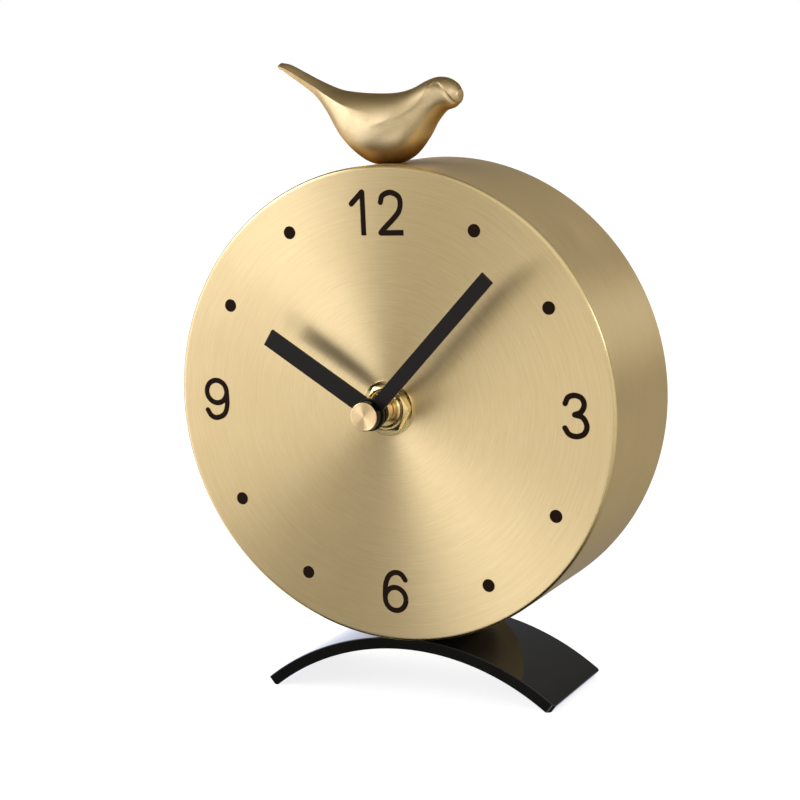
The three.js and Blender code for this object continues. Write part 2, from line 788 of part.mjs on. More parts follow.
// Motion work: minute arbor with its pinion, reversing wheel with the setting knob, hour wheel
function addMotionWork() {
  const pivotHole = turnedAlongY(rod(pivotRadius + pivotGap, centreLayer, arborBack + cutOver), pinSides);
  const cannonHub = pinion(cannonTeeth, motionModule, motionAngle, motionLayer);
  const arbor = turnedAlongY(rod(arborRadius, arborFront, arborBack), smallSides);
  addPiece('minute_arbor', cut(join(arbor, cannonHub), pivotHole), turnedBrass);
  const washerBack = clutchLayer + clutchWasherThickness;
  const washer = tube(arborRadius + slideGap, clutchWasherRadius, clutchLayer, washerBack);
  addPiece('clutch_washer', turnedAlongY(washer, smallSides), zincSteel);

  const pipe = tube(pipeRadius - pipeWall, pipeRadius, pipeFront, hourLayer + wheelThickness);
  const hourDisc = wheel(hourTeeth, hourModule, motionAngle, hourLayer);
  const pipeBore = wheelBore(pipeRadius - pipeWall, hourLayer);
  addPiece('hour_wheel', join(cut(hourDisc, pipeBore), turnedAlongY(pipe, smallSides)), whitePlastic);

  const back = Math.PI + motionAngle;
  const reversing = join(
    wheel(reversingTeeth, motionModule, back, motionLayer),
    pinion(reversingPinionTeeth, hourModule, back, hourLayer),
    turnedAlongY(rod(pivotRadius, innerFront - pivotDepth, hourLayer), pinSides),
    turnedAlongY(rod(reversingArborRadius, hourLayer, movementBack + knobGap + knobBore), smallSides),
  );
  addPiece('reversing_wheel', reversing, whitePlastic, reversingPlace.x, 0, reversingPlace.z);

  const knobFront = movementBack + knobGap;
  const rimCorners = knobFlutes * knobFluteCorners;
  const fluted = Array.from({ length: rimCorners }, (_, i) => {
    const angle = 2 * Math.PI * i / rimCorners;
    const radius = i % knobFluteCorners < knobFluteCorners / 2 ? knobRadius : knobRadius - knobFluteDepth;
    return new THREE.Vector2(radius * Math.cos(angle), radius * Math.sin(angle));
  });
  const knob = cut(
    plateAlongY(new THREE.Shape(fluted), knobFront, knobFront + knobThickness),
    turnedAlongY(
      rod(reversingArborRadius + slideGap, knobFront - cutOver, knobFront + knobBore + slideGap),
      smallSides,
    ),
  );
  addPiece('setting_knob', knob, blackPlastic, reversingPlace.x, 0, reversingPlace.z);
}

// Going train: rotor, fifth, fourth and third wheel, and the centre wheel on the minute arbor
function addGoingTrain() {
  const centreDisc = wheel(centreTeeth, centreModule, trainAngle, centreLayer);
  const centre = cut(centreDisc, wheelBore(arborRadius + slideGap, centreLayer));
  addPiece('centre_wheel', centre, whitePlastic);

  const trainBack = Math.PI + trainAngle;
  const third = join(
    wheel(thirdTeeth, thirdModule, trainBack, thirdLayer),
    pinion(thirdPinionTeeth, centreModule, trainBack, centreLayer),
    turnedAlongY(rod(pivotRadius, innerFront - pivotDepth, innerBack + pivotDepth), pinSides),
  );
  addPiece('third_wheel', third, whitePlastic, thirdPlace.x, 0, thirdPlace.z);

  const fourth = join(
    wheel(fourthTeeth, fourthModule, fifthAngle, fourthLayer),
    pinion(fourthPinionTeeth, thirdModule, trainAngle, thirdLayer),
    turnedAlongY(rod(pivotRadius, centreLayer + pivotGap, innerBack + pivotDepth), pinSides),
  );
  addPiece('fourth_wheel', fourth, whitePlastic);

  const fifth = join(
    wheel(fifthTeeth, fifthModule, rotorAngle, fifthLayer),
    pinion(fifthPinionTeeth, fourthModule, Math.PI + fifthAngle, fourthLayer),
    turnedAlongY(rod(pivotRadius, plateBack - pivotDepth, innerBack + pivotDepth), pinSides),
  );
  addPiece('fifth_wheel', fifth, whitePlastic, fifthPlace.x, 0, fifthPlace.z);

  const rotor = join(
    pinion(rotorPinionTeeth, fifthModule, Math.PI + rotorAngle, fifthLayer),
    turnedAlongY(rod(pivotRadius, plateBack - pivotDepth, innerBack + pivotDepth), pinSides),
  );
  addPiece('rotor_pinion', rotor, whitePlastic, rotorPlace.x, 0, rotorPlace.z);
  const magnet = tube(magnetBore, magnetRadius, magnetLayer, magnetLayer + magnetThickness);
  addPiece('rotor_magnet', turnedAlongY(magnet, smallSides), magnetGrey, rotorPlace.x, 0, rotorPlace.z);
}

const coreHalfLength = coilLength / 2 + coilFlange + statorLegWidth;

function addStepMotor() {
  const ringRadius = magnetRadius + statorGap + statorRing;
  const statorBack = statorLayer + statorThickness;
  const legs = [-1, 1].map((side) => {
    const inner = side * (coreHalfLength - statorLegWidth);
    const outer = side * coreHalfLength;
    const low = [Math.min(inner, outer), statorLayer, 0];
    const high = [Math.max(inner, outer), statorBack, coreLift + coreHeight / 2];
    return boxBetween(low, high);
  });
  const bar = boxBetween([-coreHalfLength, statorLayer, 0], [coreHalfLength, statorBack, statorBarHeight]);
  const ring = turnedAlongY(rod(ringRadius, statorLayer, statorBack), middleSides);
  const rotorHole = turnedAlongY(
    rod(magnetRadius + statorGap, statorLayer - cutOver, statorBack + cutOver),
    middleSides,
  );
  const stator = cut(join(ring, bar, ...legs), rotorHole);
  addPiece('stator', stator, zincSteel, rotorPlace.x, 0, rotorPlace.z);

  const coreHalf = coreHeight / 2;
  const core = boxBetween(
    [-coreHalfLength, coreLayer, -coreHalf],
    [coreHalfLength, statorLayer, coreHalf],
  );
  addPiece('coil_core', core, zincSteel, rotorPlace.x, 0, corePlaceZ);

  const end = coilLength / 2;
  const outerEnd = end + coilFlange - slideGap;
  const spool = turnedAlongX([
    [0, -outerEnd],
    [coilFlangeRadius, -outerEnd],
    [coilFlangeRadius, -end],
    [coilTubeRadius, -end],
    [coilTubeRadius, end],
    [coilFlangeRadius, end],
    [coilFlangeRadius, outerEnd],
    [0, outerEnd],
  ], smallSides);
  const slotHalfDepth = coreThickness / 2 + slideGap;
  const slotHalfHeight = coreHalf + slideGap;
  const slotEnd = outerEnd + cutOver;
  const slot = boxBetween(
    [-slotEnd, -slotHalfDepth, -slotHalfHeight],
    [slotEnd, slotHalfDepth, slotHalfHeight],
  );
  const coreMiddle = coreLayer + coreThickness / 2;
  addPiece('coil_bobbin', cut(spool, slot), whitePlastic, rotorPlace.x, coreMiddle, corePlaceZ);
  const windingEnd = end - slideGap;
  const winding = tube(coilTubeRadius + slideGap, coilWindingRadius, -windingEnd, windingEnd);
  const sleeve = turnedAlongX(winding, smallSides);
  addPiece('coil_winding', sleeve, copperWire, rotorPlace.x, coreMiddle, corePlaceZ);
}

const boardRight = rotorPlace.x - coreHalfLength - boardGap;
const boardLeft = boardWallGap - innerHalfWidth;
const boardTop = trainTop - boardGap;
const boardBottom = boardTop - boardHeight;
const boardFront = plateBack + boardLift;

function addCircuit() {
  const back = boardFront + boardThickness;
  const board = boxBetween([boardLeft, boardFront, boardBottom], [boardRight, back, boardTop]);
  addPiece('circuit_board', board, greenBoard);
  const crystal = turnedAlongZ(rod(crystalRadius, -crystalLength / 2, crystalLength / 2), smallSides);
  const crystalX = boardLeft + boardPostInset + crystalRadius;
  const crystalZ = boardBottom + crystalLength;
  addPiece('quartz_crystal', crystal, zincSteel, crystalX, back + crystalRadius, crystalZ);
  const dome = [[0, 0], [chipRadius, 0], [chipShoulderRadius, chipShoulderHeight], [0, chipHeight]];
  const chipX = boardRight - chipRadius - boardGap;
  const chipZ = boardBottom + chipRadius + boardGap;
  addPiece('driver_chip', turnedAlongY(dome, smallSides), blackPlastic, chipX, back, chipZ);
}

const platePosts = [
  { x: boardLeft + boardPostInset, z: boardTop - boardPostInset },
  { x: boardRight - boardPostInset, z: boardTop - boardPostInset },
];

function housingPosts(front, back) {
  const x = innerHalfWidth - postInset;
  const places = [
    { x: -x, z: trainBottom + postInset },
    { x, z: trainBottom + postInset },
    { x: -x, z: trainTop - postInset },
    { x, z: trainTop - postInset },
  ];
  return places.map((place) => pinAt(place, postRadius, front, back));
}

function addTrainPlate() {
  const low = [-innerHalfWidth + plateGap, plateFront, trainBottom + plateGap];
  const high = [innerHalfWidth - plateGap, plateBack, trainTop - plateGap];
  const corePosts = [-1, 1].map((side) => ({
    x: rotorPlace.x + side * (coreHalfLength - statorLegWidth / 2),
    z: corePlaceZ,
  }));
  const raised = [
    ...corePosts.map((place) => pinAt(place, corePostRadius, plateFront, coreLayer)),
    ...platePosts.map((place) => pinAt(place, corePostRadius, plateFront, boardFront)),
  ];
  const blindHoles = [fifthPlace, rotorPlace].map((place) => (
    pinAt(place, pivotRadius + pivotGap, plateBack - pivotDepth - pivotGap, plateBack + cutOver)
  ));
  const throughHoles = [shaftPlace, thirdPlace].map((place) => (
    pinAt(place, pivotRadius + pivotGap, plateFront - cutOver, plateBack + cutOver)
  ));
  const arborHole = pinAt(
    reversingPlace, reversingArborRadius + pivotGap,
    plateFront - cutOver, plateBack + cutOver, smallSides,
  );
  const plate = join(boxBetween(low, high), ...raised);
  addPiece('train_plate', cut(plate, ...blindHoles, ...throughHoles, arborHole), whitePlastic);
}

function housingBlock(front, back) {
  const outline = roundedRectangle(
    -housingHalfWidth, housingHalfWidth,
    housingBottom, housingTop, housingCorner,
  );
  return plateAlongY(outline, front, back, cornerSteps);
}

function addHousings() {
  const inner = innerHalfWidth;
  const bayPocket = boxBetween([-inner, innerFront, bayBottom], [inner, movementBack + cutOver, bayTop]);
  const frontPocket = boxBetween([-inner, innerFront, trainBottom], [inner, movementBack, trainTop]);
  const rearPocket = boxBetween([-inner, movementFront, trainBottom], [inner, innerBack, trainTop]);
  const front = cut(
    join(
      cut(housingBlock(movementFront, housingSplit), bayPocket, frontPocket),
      ...housingPosts(innerFront - pivotDepth, plateFront),
    ),
    pinAt(shaftPlace, bushRadius + slideGap, movementFront - cutOver, innerFront + cutOver, middleSides),
    ...[thirdPlace, reversingPlace].map((place) => (
      pinAt(place, pivotRadius + pivotGap, innerFront - pivotDepth - pivotGap, innerFront + cutOver)
    )),
  );
  addPiece('front_housing', front, blackPlastic);

  const rearBlindPlaces = [shaftPlace, thirdPlace, fifthPlace, rotorPlace];
  const rear = cut(
    cut(housingBlock(housingSplit, movementBack), bayPocket, rearPocket),
    ...rearBlindPlaces.map((place) => (
      pinAt(place, pivotRadius + pivotGap, innerBack - cutOver, innerBack + pivotDepth + pivotGap)
    )),
    pinAt(
      reversingPlace, reversingArborRadius + pivotGap,
      innerBack - cutOver, movementBack + cutOver, smallSides,
    ),
  );
  addPiece('rear_housing', rear, blackPlastic);
}

function addBattery() {
  const shoulder = batteryPlusEnd - batteryNubLength;
  const cell = turnedAlongX([
    [0, batteryMinusEnd],
    [batteryRadius - batteryEdge, batteryMinusEnd],
    [batteryRadius, batteryMinusEnd + batteryEdge],
    [batteryRadius, shoulder - batteryEdge],
    [batteryRadius - batteryEdge, shoulder],
    [batteryNubRadius, shoulder],
    [batteryNubRadius, batteryPlusEnd],
    [0, batteryPlusEnd],
  ], middleSides);
  addPiece('battery_cell', cell, batterySkin, 0, batteryAxisDepth, batteryPlaceZ);

  const plusBack = innerHalfWidth - contactSeat;
  const plusFront = plusBack - contactThickness;
  const plus = boxBetween(
    [plusFront, -contactHalfHeight, -contactHalfHeight],
    [plusBack, contactHalfHeight, contactHalfHeight],
  );
  addPiece('plus_contact', plus, zincSteel, 0, batteryAxisDepth, batteryPlaceZ);

  // A bowed leaf: its ends bear on the wall of the bay, its crown on the cell
  const wallSide = -innerHalfWidth + contactSeat;
  const crownSide = batteryMinusEnd - slideGap - contactThickness;
  const leaf = Array.from({ length: springArcSteps + 1 }, (_, i) => {
    const share = 2 * i / springArcSteps - 1;
    const bow = (crownSide - wallSide) * (1 - share ** 2);
    return [wallSide + bow, share * springHalfSpan];
  });
  const returning = [...leaf].reverse().map(([x, y]) => [x + contactThickness, y]);
  const outline = [...leaf, ...returning].map(([x, y]) => new THREE.Vector2(x, y));
  const strip = new THREE.ExtrudeGeometry(new THREE.Shape(outline), {
    depth: 2 * contactHalfHeight,
    bevelEnabled: false,
  }).translate(0, 0, -contactHalfHeight);
  addPiece('minus_spring', strip, zincSteel, 0, batteryAxisDepth, batteryPlaceZ);
}

addDrum();
addRearCover();
addFoot();
addFootFasteners();
addBird();
addShaftFixings();
addHands();
addMotionWork();
addGoingTrain();
addStepMotor();
addCircuit();
addTrainPlate();
addHousings();
addBattery();

export default clock;
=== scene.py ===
# %% [markdown]
# A brass desk clock with a bird
#
# The clock is a shallow drum of brushed brass that stands on a bent black foot, with a small cast bird
# on top. The solids of all 41 parts come from the CAD frame, in metres, and every piece made here goes
# where its solid is. Shapes that the solids give only roughly, such as the bird, are made again with a
# finer mesh. Pieces whose shape is right keep it and get a finish.

# %% Open the frame
import json
import math

import bmesh
import bpy
from mathutils import Matrix, Vector
from mathutils.geometry import delaunay_2d_cdt

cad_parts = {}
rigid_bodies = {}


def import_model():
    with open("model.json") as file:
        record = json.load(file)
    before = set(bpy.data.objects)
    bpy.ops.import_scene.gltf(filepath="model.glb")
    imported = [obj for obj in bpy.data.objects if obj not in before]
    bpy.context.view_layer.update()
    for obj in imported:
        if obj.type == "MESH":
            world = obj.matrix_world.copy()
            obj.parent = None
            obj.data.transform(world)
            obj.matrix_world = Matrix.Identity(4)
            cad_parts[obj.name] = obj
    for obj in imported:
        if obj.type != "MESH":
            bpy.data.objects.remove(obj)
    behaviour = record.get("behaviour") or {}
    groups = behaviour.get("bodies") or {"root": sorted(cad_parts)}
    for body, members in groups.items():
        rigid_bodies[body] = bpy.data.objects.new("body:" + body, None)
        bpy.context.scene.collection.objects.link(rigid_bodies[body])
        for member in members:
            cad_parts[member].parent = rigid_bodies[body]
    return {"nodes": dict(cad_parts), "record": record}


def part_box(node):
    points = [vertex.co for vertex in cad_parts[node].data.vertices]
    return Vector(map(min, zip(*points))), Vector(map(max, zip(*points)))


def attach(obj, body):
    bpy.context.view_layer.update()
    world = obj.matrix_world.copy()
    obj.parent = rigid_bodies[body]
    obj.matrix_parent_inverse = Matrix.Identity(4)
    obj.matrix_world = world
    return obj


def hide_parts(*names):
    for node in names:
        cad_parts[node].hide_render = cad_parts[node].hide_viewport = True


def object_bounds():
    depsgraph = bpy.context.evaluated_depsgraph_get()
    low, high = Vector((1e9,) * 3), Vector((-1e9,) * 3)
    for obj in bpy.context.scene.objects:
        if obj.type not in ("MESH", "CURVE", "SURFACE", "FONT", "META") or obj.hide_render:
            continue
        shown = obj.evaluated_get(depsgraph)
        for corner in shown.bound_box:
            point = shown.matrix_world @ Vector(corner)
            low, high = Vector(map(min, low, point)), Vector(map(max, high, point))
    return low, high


for leftover in list(bpy.data.objects):
    bpy.data.objects.remove(leftover)
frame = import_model()
cad_low, cad_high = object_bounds()
cad_size = [round((high - low) * 1000, 2) for low, high in zip(cad_low, cad_high)]
print("nodes", len(frame["nodes"]), "CAD size in mm", cad_size)

# %% [markdown]
# Where things are
#
# Everything on the dial is measured from the shaft, so its place is read first from the drum's box.
# The drum's front is the dial, and depth is counted backwards from it. A millimetre is easier to think
# in for a clock than a metre, so lengths below are written as a number of mm.

# %% Read the main places
mm = 0.001
degree = math.pi / 180
full_turn = 2 * math.pi
quarter_turn = math.pi / 2
drum_low, drum_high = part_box("drum_case")
drum_radius = (drum_high.x - drum_low.x) / 2
drum_depth = drum_high.y - drum_low.y
dial_face = drum_low.y
shaft_height = (drum_low.z + drum_high.z) / 2


def on_dial(across, up, depth=0.0):
    return Vector((across, dial_face + depth, shaft_height + up))


dial_middle = on_dial(0, 0)
print("drum radius", round(drum_radius / mm, 2), "mm, shaft", round(shaft_height / mm, 2), "mm up")

# %% [markdown]
# The camera
#
# The photograph was taken from a little to the right and above, with a long lens. Its direction, roll
# and distance were found from the two rim ellipses of the drum and the eight dots of the dial. The
# camera's three axes are built from those angles and put into its matrix, which avoids any aiming
# constraint.

# %% Set up the camera
camera_turn = 26.34 * degree
camera_rise = 9.20 * degree
camera_roll = -2.75 * degree
camera_reach = 444.8 * mm
camera_shift_right = 2.68 * mm
camera_shift_up = 1.75 * mm
sensor_width_in_mm = 36
focal_length_in_mm = 87.85
towards_camera = Vector((
    math.sin(camera_turn) * math.cos(camera_rise),
    -math.cos(camera_turn) * math.cos(camera_rise),
    math.sin(camera_rise),
))
level_right = Vector((math.cos(camera_turn), math.sin(camera_turn), 0))
level_up = towards_camera.cross(level_right)
picture_right = math.cos(camera_roll) * level_right + math.sin(camera_roll) * level_up
picture_up = math.cos(camera_roll) * level_up - math.sin(camera_roll) * level_right
camera_place = (
    dial_middle
    + camera_shift_right * picture_right
    + camera_shift_up * picture_up
    + camera_reach * towards_camera
)
lens = bpy.data.cameras.new("photo_camera")
lens.sensor_width = sensor_width_in_mm
lens.lens = focal_length_in_mm
camera = bpy.data.objects.new("photo_camera", lens)
axes = Matrix((picture_right, picture_up, towards_camera)).transposed()
camera.matrix_world = Matrix.Translation(camera_place) @ axes.to_4x4()
bpy.context.scene.collection.objects.link(camera)
bpy.context.scene.camera = camera
bpy.context.scene.view_settings.view_transform = "Standard"
print("camera at", [round(value, 3) for value in camera_place])

# %% [markdown]
# Small helpers for node trees
#
# A finish is a tree of nodes, and the same few moves come back in each: put a node down, feed its
# sockets with numbers or with other sockets, and do a sum. Writing them once keeps the finishes short
# enough to read. Sockets are fed either in their order or by their label.


# %% Put and feed nodes
def put(tree, kind, **settings):
    node = tree.nodes.new(kind)
    for setting, value in settings.items():
        setattr(node, setting, value)
    return node


def feed(tree, source, target):
    if isinstance(source, bpy.types.NodeSocket):
        tree.links.new(source, target)
    else:
        target.default_value = source


def feed_in_order(tree, node, *sources):
    for socket, source in zip(node.inputs, sources):
        feed(tree, source, socket)
    return node.outputs


def feed_by_label(tree, node, **sources):
    for label, source in sources.items():
        feed(tree, source, node.inputs[label.replace("_", " ")])
    return node.outputs


print("node helpers ready")


# %% Sums, masks and patterns
def work(tree, operation, *values):
    return feed_in_order(tree, put(tree, "ShaderNodeMath", operation=operation), *values)[0]


def vector_work(tree, operation, *values):
    return feed_in_order(tree, put(tree, "ShaderNodeVectorMath", operation=operation), *values)


def spread(tree, value, low, high, new_low=0.0, new_high=1.0):
    node = put(tree, "ShaderNodeMapRange", interpolation_type="SMOOTHSTEP")
    return feed_in_order(tree, node, value, low, high, new_low, new_high)[0]


def blend_colours(tree, share, first, second):
    node = put(tree, "ShaderNodeMix", data_type="RGBA")
    for index, source in ((0, share), (6, first), (7, second)):
        feed(tree, source, node.inputs[index])
    return node.outputs[2]


def object_place(tree):
    return put(tree, "ShaderNodeTexCoord").outputs["Object"]


def split(tree, vector):
    return feed_in_order(tree, put(tree, "ShaderNodeSeparateXYZ"), vector)


def noise(tree, place, scale, detail=2.0, roughness=0.5, fourth=None):
    node = put(tree, "ShaderNodeTexNoise")
    if fourth is not None:
        node.noise_dimensions = "4D"
        feed(tree, fourth, node.inputs["W"])
    return feed_by_label(tree, node, Vector=place, Scale=scale, Detail=detail, Roughness=roughness)


print("pattern helpers ready")

# %% [markdown]
# Studio light
#
# Brushed metal shows the room more than it shows the lamp, so the room is what has to be right. It is
# drawn in the world as soft patches, each a cone about one direction. The lights are two keys and a
# wide fill at the left, a fill at the right with a small glint in it for the rim, a card low in front,
# the table at both sides, the wall behind, a thin strip and the white backdrop. Dark patches stand for
# a corner of the room, the table under the clock and the ceiling. Their places were fitted to how
# bright the photograph's dial, wall and bird are from spot to spot. A row gives the turn from the front
# and the rise, the inner and the outer angle of the cone, all in degrees, and its strength.

# %% Patches of light in the room
room_level = 0.11
light_patches = {
    "key": (-31.8, 0.3, 6.8, 11.9, 0.86),
    "high_key": (-70.1, 33.9, 9.9, 23.6, 2.23),
    "left_fill": (-65.0, 5.1, 32.5, 36.5, 1.66),
    "low_card": (-7.8, -36.0, 12.5, 16.5, 1.53),
    "right_fill": (49.7, 32.2, 22.7, 90.0, 0.86),
    "rim_glint": (78.0, 20.0, 3.0, 11.0, 3.6),
    "left_table": (-112.0, -38.0, 12.0, 27.0, 1.4),
    "right_table": (125.9, -48.9, 21.2, 62.1, 0.30),
    "rear_wall": (190.0, 32.0, 12.0, 32.0, 0.07),
}
dark_patches = {
    "dark_corner": (-41.2, -33.9, 13.9, 18.5, 1.0),
    "under_the_clock": (0.0, -90.0, 25.0, 51.0, 0.92),
    "low_left": (-78.0, -51.1, 8.7, 26.6, 0.70),
    "ceiling": (-20.9, 89.0, 14.6, 32.0, 0.28),
}
thin_strip = (154.1, 8.2, 2.3, 14.4, 0.76)
backdrop = (camera_turn / degree + 180, -camera_rise / degree, 14.0, 32.0)


def heading(turn, rise):
    level = math.cos(rise * degree)
    return (math.sin(turn * degree) * level, -math.cos(turn * degree) * level, math.sin(rise * degree))


def patch(tree, direction, turn, rise, inner, outer):
    nearness = vector_work(tree, "DOT_PRODUCT", direction, heading(turn, rise))["Value"]
    return spread(tree, nearness, math.cos(outer * degree), math.cos(inner * degree))


def room_light(tree, direction):
    level = room_level
    for *cone, gain in light_patches.values():
        level = work(tree, "MULTIPLY_ADD", patch(tree, direction, *cone), gain, level)
    for *cone, depth in dark_patches.values():
        kept = work(tree, "MULTIPLY_ADD", patch(tree, direction, *cone), -depth, 1.0)
        level = work(tree, "MULTIPLY", level, kept)
    *cone, gain = thin_strip
    level = work(tree, "MULTIPLY_ADD", patch(tree, direction, *cone), gain, level)
    return work(tree, "MAXIMUM", level, patch(tree, direction, *backdrop))


print("patches", ", ".join(light_patches))

# %% [markdown]
# The world and the lamp
#
# Strong light and the wall behind are a little cool and dim light a little warm. The camera and light
# that comes through a piece see plain white. Light that leaves a matt surface sees one even level and
# one soft lamp instead of the patches, which keeps colours as written.

# %% World and lamp
white = (1, 1, 1, 1)
dim_light = (1.0, 0.965, 0.85, 1)
dim_levels = (0.1, 1.0)
strong_light = (1.0, 1.05, 1.22, 1)
strong_levels = (1.0, 2.5)
cool_light = (0.97, 1.0, 1.18, 1)
cool_wall = (195.0, 0.0, 12.0, 38.0)
even_level = 0.55


def studio_world():
    world = bpy.data.worlds.new("studio")
    bpy.context.scene.world = world
    world.use_nodes = True
    tree = world.node_tree
    tree.nodes.clear()
    path = put(tree, "ShaderNodeLightPath").outputs
    plain = work(tree, "MAXIMUM", path["Is Camera Ray"], path["Is Transmission Ray"])
    direction = put(tree, "ShaderNodeTexCoord").outputs["Generated"]
    level = room_light(tree, direction)
    colour = blend_colours(tree, spread(tree, level, *dim_levels), dim_light, white)
    colour = blend_colours(tree, spread(tree, level, *strong_levels), colour, strong_light)
    colour = blend_colours(tree, patch(tree, direction, *cool_wall), colour, cool_light)
    colour = blend_colours(tree, plain, colour, white)
    strength = work(tree, "MAXIMUM", level, plain)
    shown = feed_by_label(tree, put(tree, "ShaderNodeBackground"), Color=colour, Strength=strength)
    even = feed_by_label(tree, put(tree, "ShaderNodeBackground"), Color=white, Strength=even_level)
    sharp = work(tree, "MAXIMUM", plain, path["Is Glossy Ray"])
    choice = feed_in_order(tree, put(tree, "ShaderNodeMixShader"), sharp, even[0], shown[0])
    feed_in_order(tree, put(tree, "ShaderNodeOutputWorld"), choice[0])
    world.cycles.sampling_method = "NONE"


def softbox(name, turn, rise, reach, size, radiance):
    lamp = bpy.data.lights.new(name, "AREA")
    lamp.shape = "RECTANGLE"
    lamp.size = size
    lamp.size_y = size
    lamp.energy = radiance * size * size * math.pi
    holder = bpy.data.objects.new(name, lamp)
    away = Vector(heading(turn, rise))
    holder.rotation_euler = away.to_track_quat("Z", "Y").to_euler()
    holder.location = dial_middle + away * reach
    holder.visible_camera = False
    holder.visible_glossy = False
    bpy.context.scene.collection.objects.link(holder)


studio_world()
softbox("key_softbox", turn=-40, rise=35, reach=1.0, size=0.7, radiance=1.6)
print("world and one lamp ready")

# %% [markdown]
# The floor
#
# The background of the photograph is plain white. The floor is a wide plane that glows a little for the
# camera, so that it clips to white, while its matt share still takes the contact shadow of the foot.
# For light that bounces it is only a pale surface, and metal sees the room of the world in its place.

# %% Lay the floor
floor_reach = 6.0
floor_grey = (0.5, 0.5, 0.5, 1)
floor_glow = 0.82


def floor_finish():
    material = bpy.data.materials.new("white_floor")
    material.use_nodes = True
    tree = material.node_tree
    tree.nodes.clear()
    path = put(tree, "ShaderNodeLightPath").outputs
    seen = work(tree, "MAXIMUM", path["Is Camera Ray"], path["Is Transmission Ray"])
    seen = work(tree, "MAXIMUM", seen, path["Is Glossy Ray"])
    glow = work(tree, "MULTIPLY", seen, floor_glow)
    matt = feed_by_label(tree, put(tree, "ShaderNodeBsdfDiffuse"), Color=floor_grey)
    shine = feed_by_label(tree, put(tree, "ShaderNodeEmission"), Strength=glow)
    both = feed_in_order(tree, put(tree, "ShaderNodeAddShader"), matt[0], shine[0])
    feed_in_order(tree, put(tree, "ShaderNodeOutputMaterial"), both[0])
    return material


floor_sides = ((-1, -1), (1, -1), (1, 1), (-1, 1))
floor_corners = [(across * floor_reach, along * floor_reach, 0) for across, along in floor_sides]
floor_mesh = bpy.data.meshes.new("floor")
floor_mesh.from_pydata(floor_corners, [], [(0, 1, 2, 3)])
floor_mesh.materials.append(floor_finish())
floor = bpy.data.objects.new("floor", floor_mesh)
bpy.context.scene.collection.objects.link(floor)
floor.visible_glossy = False
print("floor", 2 * floor_reach, "m across")

# %% [markdown]
# Effects that several materials share
#
# Four effects come back on many parts, so each is a node group. Ring brushing is the fine streak that a
# brush leaves on a turning part. Handling gives broad smudges and thin scratches. Bright edges is a
# painted highlight along the eased edges: it lightens most finishes there and darkens the satin paint a
# little. Grain is the fine eroded skin of a plastic mould. Sizes are given to the groups in millimetres.

# %% Start a node group
per_metre = 1000.0


def start_group(name, inputs, outputs):
    group = bpy.data.node_groups.new(name, "ShaderNodeTree")
    for label, start in inputs.items():
        socket = group.interface.new_socket(name=label, in_out="INPUT", socket_type="NodeSocketFloat")
        socket.default_value = start
    for label in outputs:
        group.interface.new_socket(name=label, in_out="OUTPUT", socket_type="NodeSocketFloat")
    given = put(group, "NodeGroupInput")
    result = put(group, "NodeGroupOutput")
    return group, given.outputs, result.inputs


print("group helper ready")


# %% Ring brushing group
def make_ring_brushing():
    group, given, result = start_group(
        "ring brushing",
        {"Axis Height": shaft_height, "Lines per mm": 7.0, "Streak Breaks": 5.0},
        ["Streak", "Broad"],
    )
    least_radius = 0.1 * mm
    broad_scale = 0.22
    across, deep, high = split(group, object_place(group))
    up = work(group, "SUBTRACT", high, given["Axis Height"])
    square = work(group, "MULTIPLY_ADD", across, across, work(group, "MULTIPLY", up, up))
    radius = work(group, "MAXIMUM", work(group, "SQRT", square), least_radius)
    lines = work(group, "MULTIPLY", given["Lines per mm"], per_metre)
    round_way = work(group, "DIVIDE", given["Streak Breaks"], radius)
    ring = feed_in_order(
        group, put(group, "ShaderNodeCombineXYZ"),
        work(group, "MULTIPLY", across, round_way),
        work(group, "MULTIPLY", up, round_way),
        work(group, "MULTIPLY", deep, lines),
    )[0]
    outward = work(group, "MULTIPLY", radius, lines)
    fine = noise(group, ring, 1.0, detail=3.0, roughness=0.65, fourth=outward)
    feed(group, fine[0], result["Streak"])
    wide = noise(group, ring, broad_scale, fourth=outward)
    feed(group, wide[0], result["Broad"])
    return group


ring_brushing = make_ring_brushing()
print("group", ring_brushing.name)


# %% Handling group
def make_handling():
    group, given, result = start_group(
        "handling", {"Smudge Size mm": 14.0, "Scratch Size mm": 5.0}, ["Smudge", "Scratch"]
    )
    smudge_band = (0.42, 0.68)
    scratched_band = (0.5, 0.6)
    line_width = 0.012
    wander_scale = 90.0
    wander_reach = (6 * mm, 6 * mm, 6 * mm)
    place = object_place(group)
    smudge_scale = work(group, "DIVIDE", per_metre, given["Smudge Size mm"])
    smudge = noise(group, place, smudge_scale, detail=4.0, roughness=0.6)[0]
    feed(group, spread(group, smudge, *smudge_band), result["Smudge"])
    wander = noise(group, place, wander_scale)
    bent = vector_work(group, "MULTIPLY_ADD", wander[1], wander_reach, place)[0]
    scratch_scale = work(group, "DIVIDE", per_metre, given["Scratch Size mm"])
    cracks = put(group, "ShaderNodeTexVoronoi", feature="DISTANCE_TO_EDGE")
    feed_by_label(group, cracks, Vector=bent, Scale=scratch_scale)
    line = spread(group, cracks.outputs[0], 0.0, line_width, 1.0, 0.0)
    some = spread(group, smudge, *scratched_band)
    feed(group, work(group, "MULTIPLY", line, some), result["Scratch"])
    return group


handling = make_handling()
print("group", handling.name)


# %% Bright edges and grain groups
# Painted highlight: a mask of the eased edges, tinted lighter by most finishes and a little darker on
# the satin paint.
def make_bright_edges():
    group, given, result = start_group("bright edges", {"Reach mm": 0.2}, ["Edge"])
    flat_agreement = 0.99
    edge_agreement = 0.8
    eased_skin = put(group, "ShaderNodeBevel", samples=6)
    feed(group, work(group, "MULTIPLY", given["Reach mm"], mm), eased_skin.inputs["Radius"])
    skin = put(group, "ShaderNodeNewGeometry").outputs["Normal"]
    agreement = vector_work(group, "DOT_PRODUCT", eased_skin.outputs[0], skin)["Value"]
    feed(group, spread(group, agreement, flat_agreement, edge_agreement), result["Edge"])
    return group


